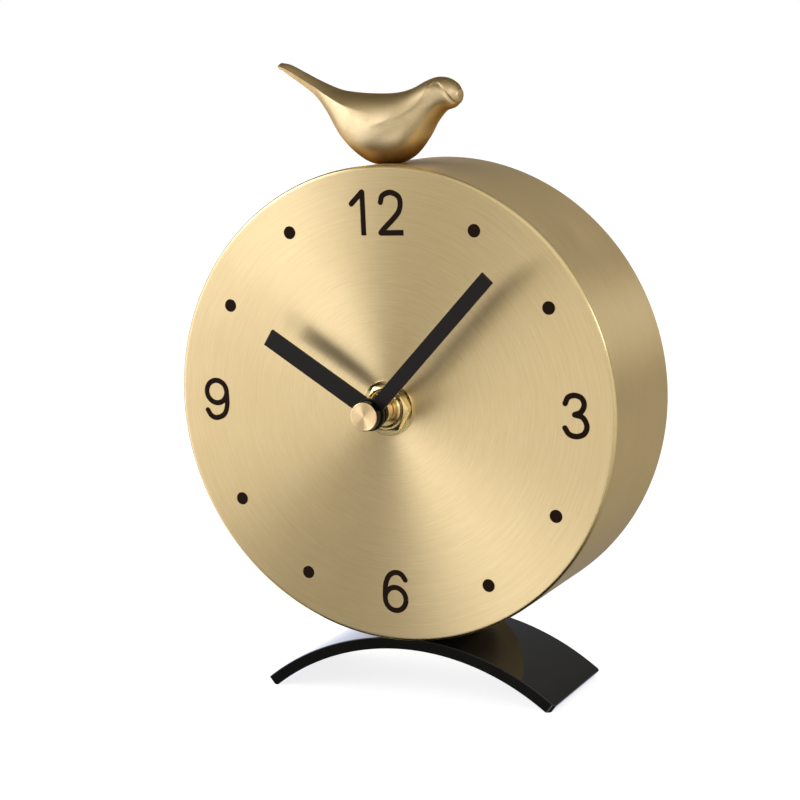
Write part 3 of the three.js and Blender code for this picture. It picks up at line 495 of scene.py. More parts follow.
def make_grain():
    group, given, result = start_group("mould grain", {"Grain Size mm": 0.35}, ["Height", "Tone"])
    broad_share = 0.02
    place = object_place(group)
    scale = work(group, "DIVIDE", per_metre, given["Grain Size mm"])
    pits = put(group, "ShaderNodeTexVoronoi", feature="SMOOTH_F1")
    feed_by_label(group, pits, Vector=place, Scale=scale)
    fine = noise(group, place, scale, detail=3.0)
    feed(group, work(group, "ADD", pits.outputs[0], fine[0]), result["Height"])
    broad = noise(group, place, work(group, "MULTIPLY", scale, broad_share))
    feed(group, broad[0], result["Tone"])
    return group


bright_edges = make_bright_edges()
mould_grain = make_grain()
print("groups", bright_edges.name, mould_grain.name)

# %% [markdown]
# How a finish is made
#
# Each finish starts from one Principled shader. What is the same all over a part, such as how metallic
# it is, is set on the shader itself. What varies comes from masks: the outputs of the groups, and for
# some finishes a pattern of their own. One mask blends the two base tones, others tint the result,
# change the roughness from its start value, or raise the skin by a depth in millimetres. Written like
# this, a finish is a short list that can be read like a paint recipe.


# %% Effects a finish can ask for
def ringed(lines_per_mm=7.0, breaks=5.0):
    return ring_brushing, {"Lines_per_mm": lines_per_mm, "Streak_Breaks": breaks}


def handled(smudge_mm, scratch_mm=5.0):
    return handling, {"Smudge_Size_mm": smudge_mm, "Scratch_Size_mm": scratch_mm}


# Painted highlight on the edges of a finish.
def painted_edge_tone(reach_mm):
    return bright_edges, {"Reach_mm": reach_mm}


def grained(size_mm):
    return mould_grain, {"Grain_Size_mm": size_mm}


print("effects ready")


# %% Make a finish
def make_finish(
    name, metallic, effects, tones, rough, height, tints=(), pattern=None, ring_axis=None, **constants
):
    material = bpy.data.materials.new(name)
    material.use_nodes = True
    tree = material.node_tree
    shader = tree.nodes["Principled BSDF"]
    feed_by_label(tree, shader, Metallic=metallic, **constants)
    if ring_axis:
        tangent = put(tree, "ShaderNodeTangent", direction_type="RADIAL", axis=ring_axis)
        feed(tree, tangent.outputs[0], shader.inputs["Tangent"])
    masks = {}
    for group, sizes in effects:
        outputs = feed_by_label(tree, put(tree, "ShaderNodeGroup", node_tree=group), **sizes)
        masks.update({output.name: output for output in outputs})
    if pattern:
        masks.update(pattern(tree, masks))
    mask, first, second = tones
    tone = blend_colours(tree, masks[mask], first, second)
    for mask, share, colour in tints:
        tone = blend_colours(tree, work(tree, "MULTIPLY", masks[mask], share), tone, colour)
    level, *changes = rough
    for mask, share in changes:
        level = work(tree, "MULTIPLY_ADD", masks[mask], share, level)
    mask, depth_mm = height
    bump = put(tree, "ShaderNodeBump")
    skin = feed_by_label(tree, bump, Strength=1.0, Distance=depth_mm * mm, Height=masks[mask])
    feed_by_label(tree, shader, Base_Color=tone, Roughness=level, Normal=skin[0])
    return material


print("finish helper ready")

# %% [markdown]
# Brushed brass of the drum
#
# The dial and the wall of the drum were brushed on a lathe, so the grooves run round the shaft. Light
# then smears across the grooves, which gives the dial its bright fan. A radial tangent about the shaft
# with an anisotropic shader makes that fan, and the ring brushing group adds the single streaks. Hands
# and cloths have burnished the bend at the rim, so it is smoother and carries a thin bright line. The
# bend is also painted darker, a painted shade that draws a thin dark line along the rim.


# %% Brushed brass
line_contrast = (0.3, 0.7)


def drum_pattern(tree, masks):
    bend_begins = (0.04 * mm, 0.12 * mm)
    bend_ends = (0.80 * mm, 0.55 * mm)
    depth = work(tree, "SUBTRACT", split(tree, object_place(tree))["Y"], dial_face)
    begun = spread(tree, depth, *bend_begins)
    bend = work(tree, "MULTIPLY", begun, spread(tree, depth, *bend_ends))
    return {"Line": spread(tree, masks["Streak"], *line_contrast), "Bend_Burnish_And_Shade": bend}


# The tint on the rim bend is painted shade, a thin darker line; the lower roughness there is the
# burnish.
finish_drum = make_finish(
    "brushed_brass_rings", 1.0, [ringed(), handled(22.0)],
    tones=("Line", (0.80, 0.603, 0.303, 1), (0.88, 0.681, 0.365, 1)),
    tints=[("Smudge", 0.25, (0.78, 0.58, 0.28, 1)), ("Bend_Burnish_And_Shade", 1.0, (0.70, 0.55, 0.27, 1))],
    rough=[0.30, ("Streak", 0.10), ("Broad", 0.06), ("Smudge", 0.03), ("Bend_Burnish_And_Shade", -0.20)],
    height=("Streak", 0.0025),
    pattern=drum_pattern, ring_axis="Y", Anisotropic=0.85, Anisotropic_Rotation=0.25,
)
print("finish", finish_drum.name)

# %% [markdown]
# Satin brass of the bird and turned brass of the shaft
#
# The bird was cast and rubbed to a satin with an abrasive pad. The pad leaves short fine lines along
# the body. Painted shade darkens the top, the underside away from the tail and the narrow gap above the
# drum; the finish reads that off from how far the surface faces up or down, and from the height above
# the seat. The washer, nut, bush and cap are turned on an automatic lathe: brighter, with fine rings
# about their own axis.


# %% Cast brass of the bird
def bird_pattern(tree, masks):
    line_scales = (500, 3000, 3000)
    facing_up = (0.1, 0.7)
    facing_down = (-0.2, -0.85)
    # Painted shade: how far the top, the underside and the gap above the seat are darkened.
    top_painted_shade = 0.72
    under_painted_shade = 0.8
    seat_painted_shade = 0.8
    tail_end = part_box("bird")[0].x
    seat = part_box("bird")[0].z
    past_tail = (tail_end + 10 * mm, tail_end + 18 * mm)
    near_seat = (seat + 6.0 * mm, seat + 2.5 * mm)
    place = object_place(tree)
    lines = noise(tree, vector_work(tree, "MULTIPLY", place, line_scales)[0], 1.0, detail=3.0)[0]
    facing = split(tree, put(tree, "ShaderNodeNewGeometry").outputs["Normal"])["Z"]
    along = split(tree, place)
    under = spread(tree, facing, *facing_down, 0.0, under_painted_shade)
    return {
        "Lines": lines,
        "Line": spread(tree, lines, *line_contrast),
        "Painted_Top_Shade": spread(tree, facing, *facing_up, 0.0, top_painted_shade),
        "Painted_Under_Shade": work(tree, "MULTIPLY", under, spread(tree, along["X"], *past_tail)),
        "Painted_Seat_Shade": spread(tree, along["Z"], *near_seat, 0.0, seat_painted_shade),
    }


# The last three tints are painted shade: darker on top, underneath and just above the seat.
finish_bird = make_finish(
    "satin_cast_brass", 1.0, [handled(5.0)],
    tones=("Line", (0.75, 0.58, 0.33, 1), (0.79, 0.62, 0.36, 1)),
    tints=[
        ("Smudge", 0.3, (0.62, 0.46, 0.22, 1)),
        ("Painted_Top_Shade", 1.0, (0.36, 0.255, 0.105, 1)),
        ("Painted_Under_Shade", 1.0, (0.34, 0.21, 0.07, 1)),
        ("Painted_Seat_Shade", 1.0, (0.20, 0.11, 0.035, 1)),
    ],
    rough=[0.40, ("Lines", 0.06), ("Smudge", 0.06)],
    height=("Lines", 0.0005),
    pattern=bird_pattern, Specular_Tint=(0.9, 0.6, 0.3, 1),
)
print("finish", finish_bird.name)


# %% Turned brass
def turned_brass(name, dark, light, roughness, anisotropy):
    return make_finish(
        name, 1.0, [ringed(lines_per_mm=9.0, breaks=0.6), handled(4.0), painted_edge_tone(0.12)],
        tones=("Streak", dark, light),
        tints=[("Smudge", 0.25, (0.70, 0.54, 0.28, 1)), ("Edge", 1.0, (0.95, 0.82, 0.52, 1))],
        rough=[roughness, ("Streak", 0.12)],
        height=("Streak", 0.003),
        ring_axis="Y", Anisotropic=anisotropy, Anisotropic_Rotation=0.25,
    )


finish_turned = turned_brass(
    "turned_brass_bright", (0.78, 0.61, 0.28, 1), (0.90, 0.73, 0.38, 1), roughness=0.14, anisotropy=0.5
)
finish_face = turned_brass(
    "turned_brass_face", (0.97, 0.69, 0.35, 1), (1.0, 0.77, 0.42, 1), roughness=0.36, anisotropy=0.85
)
print("finishes", finish_turned.name, finish_face.name)

# %% [markdown]
# Black finishes
#
# The foot is sprayed with gloss lacquer, which flows out almost flat and keeps only a faint orange
# peel. The hands have a thin satin paint that is a little brown, and the cap a glossier one. Rubber is
# matt and dusty, and the ink of the numerals is a very dark brown.


# %% Lacquer and paint
def peel_pattern(tree, masks):
    peel_scale = 900.0
    return {"Peel": noise(tree, object_place(tree), peel_scale, detail=1.0)[0]}


finish_foot = make_finish(
    "gloss_black_lacquer", 0.0, [handled(11.0), painted_edge_tone(0.2)],
    tones=("Smudge", (0.003, 0.003, 0.003, 1), (0.006, 0.006, 0.006, 1)),
    tints=[("Edge", 0.3, (0.03, 0.03, 0.03, 1))],
    rough=[0.12, ("Smudge", 0.06)],
    height=("Peel", 0.004),
    pattern=peel_pattern, Coat_Weight=1.0, Coat_Roughness=0.03, Specular_IOR_Level=0.05,
)
finish_paint = make_finish(
    "satin_black_paint", 0.0, [grained(0.12), painted_edge_tone(0.18)],
    tones=("Tone", (0.010, 0.007, 0.005, 1), (0.014, 0.010, 0.008, 1)),
    tints=[("Edge", 0.6, (0.008, 0.007, 0.007, 1))],
    rough=[0.36, ("Tone", 0.1)],
    height=("Height", 0.003),
    Specular_IOR_Level=0.2,
)
finish_cap = make_finish(
    "gloss_black_paint", 0.0, [handled(3.0)],
    tones=("Smudge", (0.002, 0.002, 0.002, 1), (0.006, 0.005, 0.005, 1)),
    rough=[0.14, ("Smudge", 0.08)],
    height=("Smudge", 0.003),
    Specular_IOR_Level=0.12,
)
print("finishes", finish_foot.name, finish_paint.name, finish_cap.name)

# %% Rubber and ink
finish_rubber = make_finish(
    "matt_black_rubber", 0.0, [grained(0.2), handled(6.0)],
    tones=("Smudge", (0.012, 0.012, 0.012, 1), (0.035, 0.034, 0.032, 1)),
    rough=[0.78, ("Tone", 0.1)],
    height=("Height", 0.02),
)
finish_ink = make_finish(
    "dial_ink", 0.0, [grained(0.15)],
    tones=("Tone", (0.010, 0.003, 0.0005, 1), (0.018, 0.006, 0.001, 1)),
    rough=[0.5, ("Tone", 0.1)],
    height=("Height", 0.002),
    Specular_IOR_Level=0.1,
)
print("finishes", finish_rubber.name, finish_ink.name)

# %% [markdown]
# Plastics
#
# The rear cover, the housing and the setting knob are moulded in black plastic with a fine
# eroded skin, and a painted highlight makes the edges a little grey. The gears are natural white
# plastic, smoother and slightly see-through, so light goes a little way into them.

# %% Black and white plastic
finish_plastic = make_finish(
    "moulded_black_plastic", 0.0, [grained(0.4), handled(16.0), painted_edge_tone(0.25)],
    tones=("Tone", (0.014, 0.014, 0.015, 1), (0.021, 0.021, 0.022, 1)),
    tints=[("Smudge", 0.3, (0.03, 0.03, 0.03, 1)), ("Edge", 0.5, (0.06, 0.06, 0.06, 1))],
    rough=[0.52, ("Smudge", -0.08)],
    height=("Height", 0.02),
)
finish_white = make_finish(
    "natural_white_plastic", 0.0, [grained(0.25)],
    tones=("Tone", (0.74, 0.72, 0.66, 1), (0.82, 0.80, 0.75, 1)),
    rough=[0.34, ("Tone", 0.12)],
    height=("Height", 0.004),
    Subsurface_Weight=0.15, Subsurface_Scale=1.0 * mm,
)
print("finishes", finish_plastic.name, finish_white.name)

# %% [markdown]
# Metal and board of the movement
#
# Screws, nuts, contacts and the stator are zinc-plated steel, whose crystals give a faint cloudy
# pattern. The winding is enamelled copper wire laid in even turns. The rotor's magnet is dark sintered
# metal, and the circuit board is green solder resist over copper tracks.


# %% Zinc and copper
def crystal_pattern(tree, masks):
    crystals = put(tree, "ShaderNodeTexVoronoi", feature="F1")
    return {"Crystal": feed_by_label(tree, crystals, Vector=object_place(tree), Scale=1500.0)[0]}


# Painted shade and highlight: each wire turn is darker in its groove and brighter on its crown, and the
# same wave raises the skin.
def winding_pattern(tree, masks):
    wire_pitch = 0.16 * mm
    turns = work(tree, "MULTIPLY", split(tree, object_place(tree))["X"], full_turn / wire_pitch)
    return {"Turn_Relief_And_Shade": work(tree, "MULTIPLY_ADD", work(tree, "SINE", turns), 0.5, 0.5)}


finish_zinc = make_finish(
    "zinc_plated_steel", 1.0, [handled(3.0, scratch_mm=1.2), painted_edge_tone(0.15)],
    tones=("Crystal", (0.56, 0.57, 0.60, 1), (0.66, 0.67, 0.69, 1)),
    tints=[("Smudge", 0.4, (0.52, 0.50, 0.44, 1)), ("Edge", 1.0, (0.78, 0.78, 0.79, 1))],
    rough=[0.25, ("Crystal", 0.15), ("Scratch", 0.2)],
    height=("Crystal", 0.004),
    pattern=crystal_pattern,
)
finish_copper = make_finish(
    "enamelled_copper_wire", 1.0, [handled(3.0)],
    tones=("Turn_Relief_And_Shade", (0.42, 0.14, 0.05, 1), (0.82, 0.38, 0.18, 1)),
    tints=[("Smudge", 0.3, (0.5, 0.2, 0.08, 1))],
    rough=[0.28, ("Smudge", 0.1)],
    height=("Turn_Relief_And_Shade", 0.04),
    pattern=winding_pattern, Coat_Weight=0.5,
)
print("finishes", finish_zinc.name, finish_copper.name)


# %% Magnet and board
def track_pattern(tree, masks):
    flat_on_board = (quarter_turn, 0, 0)
    turned = put(tree, "ShaderNodeMapping")
    feed_by_label(tree, turned, Vector=object_place(tree), Rotation=flat_on_board)
    tracks = put(tree, "ShaderNodeTexBrick", offset=0.5)
    feed_by_label(tree, tracks, Vector=turned.outputs[0], Scale=260.0, Mortar_Size=0.05)
    return {"Track": tracks.outputs["Fac"]}


finish_magnet = make_finish(
    "sintered_magnet", 1.0, [grained(0.1)],
    tones=("Height", (0.06, 0.06, 0.065, 1), (0.12, 0.12, 0.125, 1)),
    rough=[0.45, ("Tone", 0.15)],
    height=("Height", 0.01),
)
finish_board = make_finish(
    "green_circuit_board", 0.0, [grained(0.3)],
    tones=("Track", (0.020, 0.13, 0.045, 1), (0.06, 0.27, 0.09, 1)),
    tints=[("Tone", 0.3, (0.01, 0.09, 0.03, 1))],
    rough=[0.3, ("Tone", 0.15)],
    height=("Track", 0.02),
    pattern=track_pattern, Coat_Weight=0.3,
)
print("finishes", finish_magnet.name, finish_board.name)

# %% [markdown]
# The battery's sleeve
#
# A plain cell wears a shrunk plastic sleeve, here grey-blue with a copper-coloured band at its plus end
# and nothing printed on it. The colour is chosen by the place along the cell, so one material does for
# the whole sleeve.

# %% Battery sleeve
cell_low, cell_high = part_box("battery_cell")


def band_pattern(tree, masks):
    band_share = 0.28
    band_blur = 0.1 * mm
    band_start = cell_high.x - band_share * (cell_high.x - cell_low.x)
    along = split(tree, object_place(tree))["X"]
    return {"Band": spread(tree, along, band_start - band_blur, band_start + band_blur)}


finish_sleeve = make_finish(
    "battery_sleeve_film", 0.3, [handled(8.0), grained(0.3)],
    tones=("Band", (0.11, 0.15, 0.20, 1), (0.52, 0.27, 0.14, 1)),
    tints=[("Smudge", 0.06, (0.2, 0.2, 0.2, 1))],
    rough=[0.26, ("Tone", 0.08)],
    height=("Tone", 0.01),
    pattern=band_pattern, Coat_Weight=0.4,
)
print("finish", finish_sleeve.name)

# %% [markdown]
# Helpers for making pieces
#
# Three ways of making cover almost every piece of a clock. Turning sweeps a profile about an axis. A
# flat shape is cut from sheet along an outline. Dressing takes the CAD solid as it is, welds its
# corners and eases its edges, for pieces whose solid is already right.

# %% Register a piece
body_with = {}
for body, nodes in frame["record"]["behaviour"]["bodies"].items():
    for node in nodes:
        body_with[node] = body
slot_with = {part["node"]: part["material_slot"] for part in frame["record"]["subparts"]}
slot_finish = {
    "brushed_brass": finish_drum,
    "cast_brass": finish_bird,
    "turned_brass": finish_turned,
    "black_lacquer": finish_foot,
    "black_paint": finish_paint,
    "black_plastic": finish_plastic,
    "black_rubber": finish_rubber,
    "white_plastic": finish_white,
    "circuit_board": finish_board,
    "zinc_steel": finish_zinc,
    "copper_wire": finish_copper,
    "magnet": finish_magnet,
    "battery_sleeve": finish_sleeve,
}


def register(name, mesh, body, slot, stands_for=(), finish=None):
    piece = bpy.data.objects.new(name, mesh)
    bpy.context.scene.collection.objects.link(piece)
    mesh.materials.clear()
    mesh.materials.append(finish or slot_finish[slot])
    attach(piece, body)
    if stands_for:
        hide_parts(*stands_for)
    return piece


print("slots with a finish", len(slot_finish))


# %% Shading and edges
def shade(mesh, sharp_angle=35):
    mesh.shade_smooth()
    mesh.set_sharp_from_angle(angle=sharp_angle * degree)


def keep_flats(piece):
    weighted = piece.modifiers.new("keep_flats", "WEIGHTED_NORMAL")
    weighted.keep_sharp = True
    weighted.weight = 80


def ease_edges(piece, width, angle=35):
    bevel = piece.modifiers.new("eased_edges", "BEVEL")
    bevel.width = width
    bevel.segments = 2
    bevel.limit_method = "ANGLE"
    bevel.angle_limit = angle * degree
    bevel.harden_normals = True
    bevel.use_clamp_overlap = True


print("shading helpers ready")


# %% Build and change a mesh
same_place = 1e-7


def reshape(mesh, change):
    solid = bmesh.new()
    solid.from_mesh(mesh)
    change(solid)
    solid.to_mesh(mesh)
    solid.free()
    mesh.update()


def face_outward(solid):
    bmesh.ops.recalc_face_normals(solid, faces=solid.faces)


def build_mesh(name, points, faces, change=face_outward):
    mesh = bpy.data.meshes.new(name)
    mesh.from_pydata(points, [], faces)
    reshape(mesh, change)
    return mesh


def quads_between(ring_count, per_ring, first=0, closed=False):
    faces = []
    for ring in range(ring_count if closed else ring_count - 1):
        here = first + ring * per_ring
        there = first + (ring + 1) % ring_count * per_ring
        for step in range(per_ring):
            after = (step + 1) % per_ring
            faces.append((here + step, here + after, there + after, there + step))
    return faces


def cut_level(solid, height):
    everything = solid.verts[:] + solid.edges[:] + solid.faces[:]
    plane = bmesh.ops.bisect_plane(
        solid, geom=everything, dist=same_place,
        plane_co=(0, 0, height), plane_no=(0, 0, -1), clear_outer=True,
    )
    rim = [item for item in plane["geom_cut"] if isinstance(item, bmesh.types.BMEdge)]
    bmesh.ops.holes_fill(solid, edges=rim)
    face_outward(solid)


print("mesh helpers ready")

# %% Lines and profiles
eased_share = 0.45
axis_frames = {
    "X": (Vector((0, 1, 0)), Vector((0, 0, 1)), Vector((1, 0, 0))),
    "Y": (Vector((1, 0, 0)), Vector((0, 0, 1)), Vector((0, 1, 0))),
    "Z": (Vector((1, 0, 0)), Vector((0, 1, 0)), Vector((0, 0, 1))),
}


def arc(middle, radius, start, end, steps):
    points = []
    for step in range(steps + 1):
        turn = start + (end - start) * step / steps
        points.append((middle[0] + radius * math.cos(turn), middle[1] + radius * math.sin(turn)))
    return points


def band(inner, outer, front, back):
    return [(inner, front), (outer, front), (outer, back), (inner, back)]


def eased(profile, radius, closed=False, steps=3):
    count = len(profile)
    result = []
    for index, corner in enumerate(profile):
        at_end = not closed and index in (0, count - 1)
        if at_end:
            result.append(corner)
            continue
        here = Vector(corner)
        before = Vector(profile[index - 1]) - here
        after = Vector(profile[(index + 1) % count]) - here
        reach = min(radius, before.length * eased_share, after.length * eased_share)
        start = here + before.normalized() * reach
        end = here + after.normalized() * reach
        for step in range(steps + 1):
            share = step / steps
            bend = start * (1 - share) ** 2 + here * 2 * share * (1 - share) + end * share**2
            result.append((bend.x, bend.y))
    return result


print("profile helpers ready")


# %% Turn a profile
def turned_mesh(name, profile, middle=dial_middle, axis="Y", sides=64, closed=False):
    side, other, along = axis_frames[axis]
    points = []
    rings = []
    for radius, depth in profile:
        centre = middle + along * depth
        if radius < same_place:
            rings.append([len(points)] * sides)
            points.append(centre)
            continue
        rings.append(list(range(len(points), len(points) + sides)))
        for step in range(sides):
            turn = full_turn * step / sides
            points.append(centre + radius * (math.cos(turn) * side + math.sin(turn) * other))
    pairs = list(zip(rings, rings[1:]))
    if closed:
        pairs.append((rings[-1], rings[0]))
    faces = []
    for near, far in pairs:
        for step in range(sides):
            after = (step + 1) % sides
            corners = dict.fromkeys([near[step], near[after], far[after], far[step]])
            if len(corners) > 2:
                faces.append(list(corners))
    return build_mesh(name, points, faces)


def turned_piece(name, profile, body, slot, stands_for=(), finish=None, sharp=50, flats=True, **turning):
    mesh = turned_mesh(name, profile, **turning)
    shade(mesh, sharp)
    piece = register(name, mesh, body, slot, stands_for, finish)
    if flats:
        keep_flats(piece)
    return piece


def mesh_round_shaft(name, sides, line_at):
    points = []
    for step in range(sides):
        turn = full_turn * step / sides
        line = line_at(turn)
        for radius, depth in line:
            points.append(on_dial(radius * math.cos(turn), radius * math.sin(turn), depth))
    return build_mesh(name, points, quads_between(sides, len(line), closed=True))


print("turning helpers ready")


# %% Cut a flat shape
def flat_mesh(name, outlines, front, back):
    points = []
    faces = []
    for outline in outlines:
        area = sum(a[0] * b[1] - b[0] * a[1] for a, b in zip(outline, outline[1:] + outline[:1]))
        way = outline if area > 0 else outline[::-1]
        faces.append(list(range(len(points), len(points) + len(way))))
        points.extend(Vector(point) for point in way)
    merged = delaunay_2d_cdt(points, [], faces, 1, 1e-9)
    sheet = bmesh.new()
    corners = [sheet.verts.new((point.x, front, point.y)) for point in merged[0]]
    for face, covered_by in zip(merged[2], merged[5]):
        if covered_by:
            sheet.faces.new([corners[index] for index in face])
    loose = [corner for corner in sheet.verts if not corner.link_faces]
    bmesh.ops.delete(sheet, geom=loose, context="VERTS")
    bmesh.ops.dissolve_limit(
        sheet, angle_limit=0.001, verts=sheet.verts, edges=sheet.edges, use_dissolve_boundaries=False
    )
    grown = bmesh.ops.extrude_face_region(sheet, geom=list(sheet.faces))
    moved = [item for item in grown["geom"] if isinstance(item, bmesh.types.BMVert)]
    bmesh.ops.translate(sheet, vec=(0, back - front, 0), verts=moved)
    face_outward(sheet)
    mesh = bpy.data.meshes.new(name)
    sheet.to_mesh(mesh)
    sheet.free()
    return mesh


print("sheet helper ready")


# %% Dress a solid and bore a mesh
weld_reach = 1e-6
flat_turn = 0.002


def weld(solid):
    bmesh.ops.remove_doubles(solid, verts=solid.verts, dist=weld_reach)
    bmesh.ops.dissolve_limit(solid, angle_limit=flat_turn, verts=solid.verts, edges=solid.edges)


def dress(node, ease):
    mesh = frame["nodes"][node].data.copy()
    reshape(mesh, weld)
    shade(mesh)
    piece = register(node + "_eased", mesh, body_with[node], slot_with[node], [node])
    if ease:
        ease_edges(piece, ease * mm)


def bore(mesh, cutters):
    blank = bpy.data.objects.new("blank", mesh)
    bpy.context.scene.collection.objects.link(blank)
    tools = []
    for index, cutter in enumerate(cutters):
        tool = bpy.data.objects.new(f"cutter_{index}", cutter)
        bpy.context.scene.collection.objects.link(tool)
        tools.append(tool)
        cut = blank.modifiers.new("bore", "BOOLEAN")
        cut.operation = "DIFFERENCE"
        cut.solver = "EXACT"
        cut.object = tool
    seen = blank.evaluated_get(bpy.context.evaluated_depsgraph_get())
    result = bpy.data.meshes.new_from_object(seen)
    for spent in [blank, *tools]:
        bpy.data.objects.remove(spent)
    return result


def middle_of(node):
    return [(low + high) / 2 for low, high in zip(*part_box(node))]


def upright_cutter(node, profile, sides):
    x, y, _ = middle_of(node)
    return turned_mesh("cutter", profile, Vector((x, y, 0)), axis="Z", sides=sides)


print("dressing helpers ready")

# %% [markdown]
# The drum
#
# The case is one brass cup: a flat dial, a small bend at the rim and a straight wall, open at the back.
# It is turned as one closed profile with many sides, because its edge is the longest curve in the
# picture and shows every flat. The bend at the rim gets its own steps, since it carries a bright line.
# Three holes are bored for the screws of the bird and the foot.

# %% Turn the drum
drum_wall = 0.8 * mm
drum_sides = 288
rim_bend = 0.95 * mm
beside_bend = 0.3 * mm
lip = 0.2 * mm
shaft_hole = 4.15 * mm
hole_edge = 0.08 * mm
screw_hole = 1.65 * mm
bored_inside = 3 * mm
bored_outside = 1 * mm


def drum_profile():
    bend_centre = (drum_radius - rim_bend, rim_bend)
    outer = arc(bend_centre, rim_bend, -quarter_turn, 0, 10)
    inner = arc(bend_centre, rim_bend - drum_wall, 0, -quarter_turn, 6)
    return [
        (shaft_hole, hole_edge),
        (shaft_hole + hole_edge, 0),
        (drum_radius - rim_bend - beside_bend, 0),
        *outer,
        (drum_radius, drum_depth - lip),
        (drum_radius - lip, drum_depth),
        (drum_radius - drum_wall + lip, drum_depth),
        (drum_radius - drum_wall, drum_depth - lip),
        *inner,
        (drum_radius - rim_bend - beside_bend, drum_wall),
        (shaft_hole, drum_wall),
    ]


def screw_hole_cutter(node, low, high):
    return upright_cutter(node, [(0, low), (screw_hole, low), (screw_hole, high), (0, high)], 32)


drum_blank = turned_mesh("drum", drum_profile(), sides=drum_sides, closed=True)
drum_mesh = bore(drum_blank, [
    screw_hole_cutter("bird_screw", drum_high.z - bored_inside, drum_high.z + bored_outside),
    screw_hole_cutter("foot_screw_front", drum_low.z - bored_outside, drum_low.z + bored_inside),
    screw_hole_cutter("foot_screw_rear", drum_low.z - bored_outside, drum_low.z + bored_inside),
])
shade(drum_mesh, sharp_angle=40)
drum = register("drum", drum_mesh, "case", "brushed_brass", ["drum_case"])
keep_flats(drum)
print("drum faces", len(drum_mesh.polygons))

# %% [markdown]
# The printed dial
#
# The numerals and the dots are printed in one thin coat of dark ink. Each numeral is drawn as pen
# strokes of even width along a curve, and the strokes of one numeral are merged into one outline, so
# that they don't overlap. A text object would bring somebody's font, and these plain strokes follow
# the photograph more closely. The knots of the strokes are in millimetres from the shaft.

# %% Pen strokes
ink_thickness = 0.03 * mm
stroke_width = 1.26


def curve_through(knots, steps=10):
    points = [Vector(knot) for knot in knots]
    points = [2 * points[0] - points[1]] + points + [2 * points[-1] - points[-2]]
    result = []
    for first, start, end, last in zip(points, points[1:], points[2:], points[3:]):
        for step in range(steps):
            share = step / steps
            result.append(0.5 * (
                2 * start
                + (end - first) * share
                + (2 * first - 5 * start + 4 * end - last) * share**2
                + (3 * start - first - 3 * end + last) * share**3
            ))
    return result + [points[-2]]


def disc(middle, radius, steps):
    return arc(middle, radius, 0, full_turn, steps)[:-1]


def stroke(points, round_ends=True):
    points = [Vector(point) for point in points]
    sides = []
    for index, point in enumerate(points):
        before = points[max(index - 1, 0)]
        after = points[min(index + 1, len(points) - 1)]
        way = (after - before).normalized()
        aside = Vector((-way.y, way.x)) * stroke_width / 2
        sides.append((point + aside, point - aside))
    outlines = []
    for (left, right), (next_left, next_right) in zip(sides, sides[1:]):
        outlines.append([tuple(left), tuple(right), tuple(next_right), tuple(next_left)])
    if round_ends:
        for end in (points[0], points[-1]):
            outlines.append(disc(end, stroke_width / 2, 24))
    return outlines


def bowl(middle, half_wide, half_high, steps=48):
    points = []
    for step in range(steps + 1):
        turn = full_turn * step / steps
        points.append((middle[0] + half_wide * math.cos(turn), middle[1] + half_high * math.sin(turn)))
    return stroke(points, round_ends=False)


def print_mark(name, *strokes):
    outlines = [outline for part in strokes for outline in part]
    scaled = [[(x * mm, shaft_height + z * mm) for x, z in outline] for outline in outlines]
    mesh = flat_mesh(name, scaled, dial_face - ink_thickness, dial_face)
    register(name, mesh, "case", "black_paint", finish=finish_ink)


print("stroke width", stroke_width, "mm")

# %% Print the numerals
one_flag = stroke([(-6.82, 46.45), (-4.05, 49.05)])
one_stem = stroke([(-3.98, 49.2), (-4.01, 39.3)], round_ends=False)
two_bowl = stroke(curve_through([
    (0.53, 46.69), (1.1, 48.15), (3.01, 48.84), (4.85, 48.1), (5.46, 46.61), (5.0, 44.6),
    (3.5, 42.9), (1.41, 41.0), (0.31, 39.87),
]))
two_foot = stroke([(0.2, 39.82), (5.95, 39.82)], round_ends=False)
print_mark("numeral_twelve", one_flag, one_stem, two_bowl, two_foot)
three_top = stroke(curve_through([
    (43.15, 2.23), (43.9, 3.6), (45.43, 4.06), (47.0, 3.5), (47.58, 2.0), (46.8, 0.45), (45.28, -0.22),
]))
three_low = stroke(curve_through([
    (45.28, -0.22), (47.15, -0.8), (48.04, -2.64), (47.4, -4.35), (45.64, -5.04), (43.9, -4.6),
    (42.91, -3.22),
]))
print_mark("numeral_three", three_top, three_low)
six_hook = stroke(curve_through([
    (2.21, -40.29), (1.2, -39.0), (-0.32, -38.67), (-1.9, -39.5), (-2.9, -41.6), (-3.19, -44.4),
]))
print_mark("numeral_six", bowl((-0.52, -44.98), 2.67, 2.74), six_hook)
nine_hook = stroke(curve_through([
    (-42.67, 2.7), (-42.72, -0.6), (-43.6, -2.8), (-45.63, -3.73), (-47.2, -3.3), (-48.15, -1.94),
]))
print_mark("numeral_nine", bowl((-45.37, 2.54), 2.7, 2.7), nine_hook)
print("numerals printed")

# %% Print the dots
dot_ring = 46.3
dot_radius = 1.5
dotted_hours = (1, 2, 4, 5, 7, 8, 10, 11)
for hour in dotted_hours:
    turn = hour * 30 * degree
    middle = (dot_ring * math.sin(turn), dot_ring * math.cos(turn))
    print_mark(f"dot_{hour}", [disc(middle, dot_radius, 48)])
print("dots printed", len(dotted_hours))

# %% [markdown]
# Washer, nut and threaded bush
#
# These three hold the movement behind the dial, as on any clock of this kind. The nut is a hexagon
# whose corners were chamfered on a lathe, so its front edge dips in six curves. Each point of its rim
# is worked out from its angle. The bush has a real thread: a wave that climbs one pitch a turn.

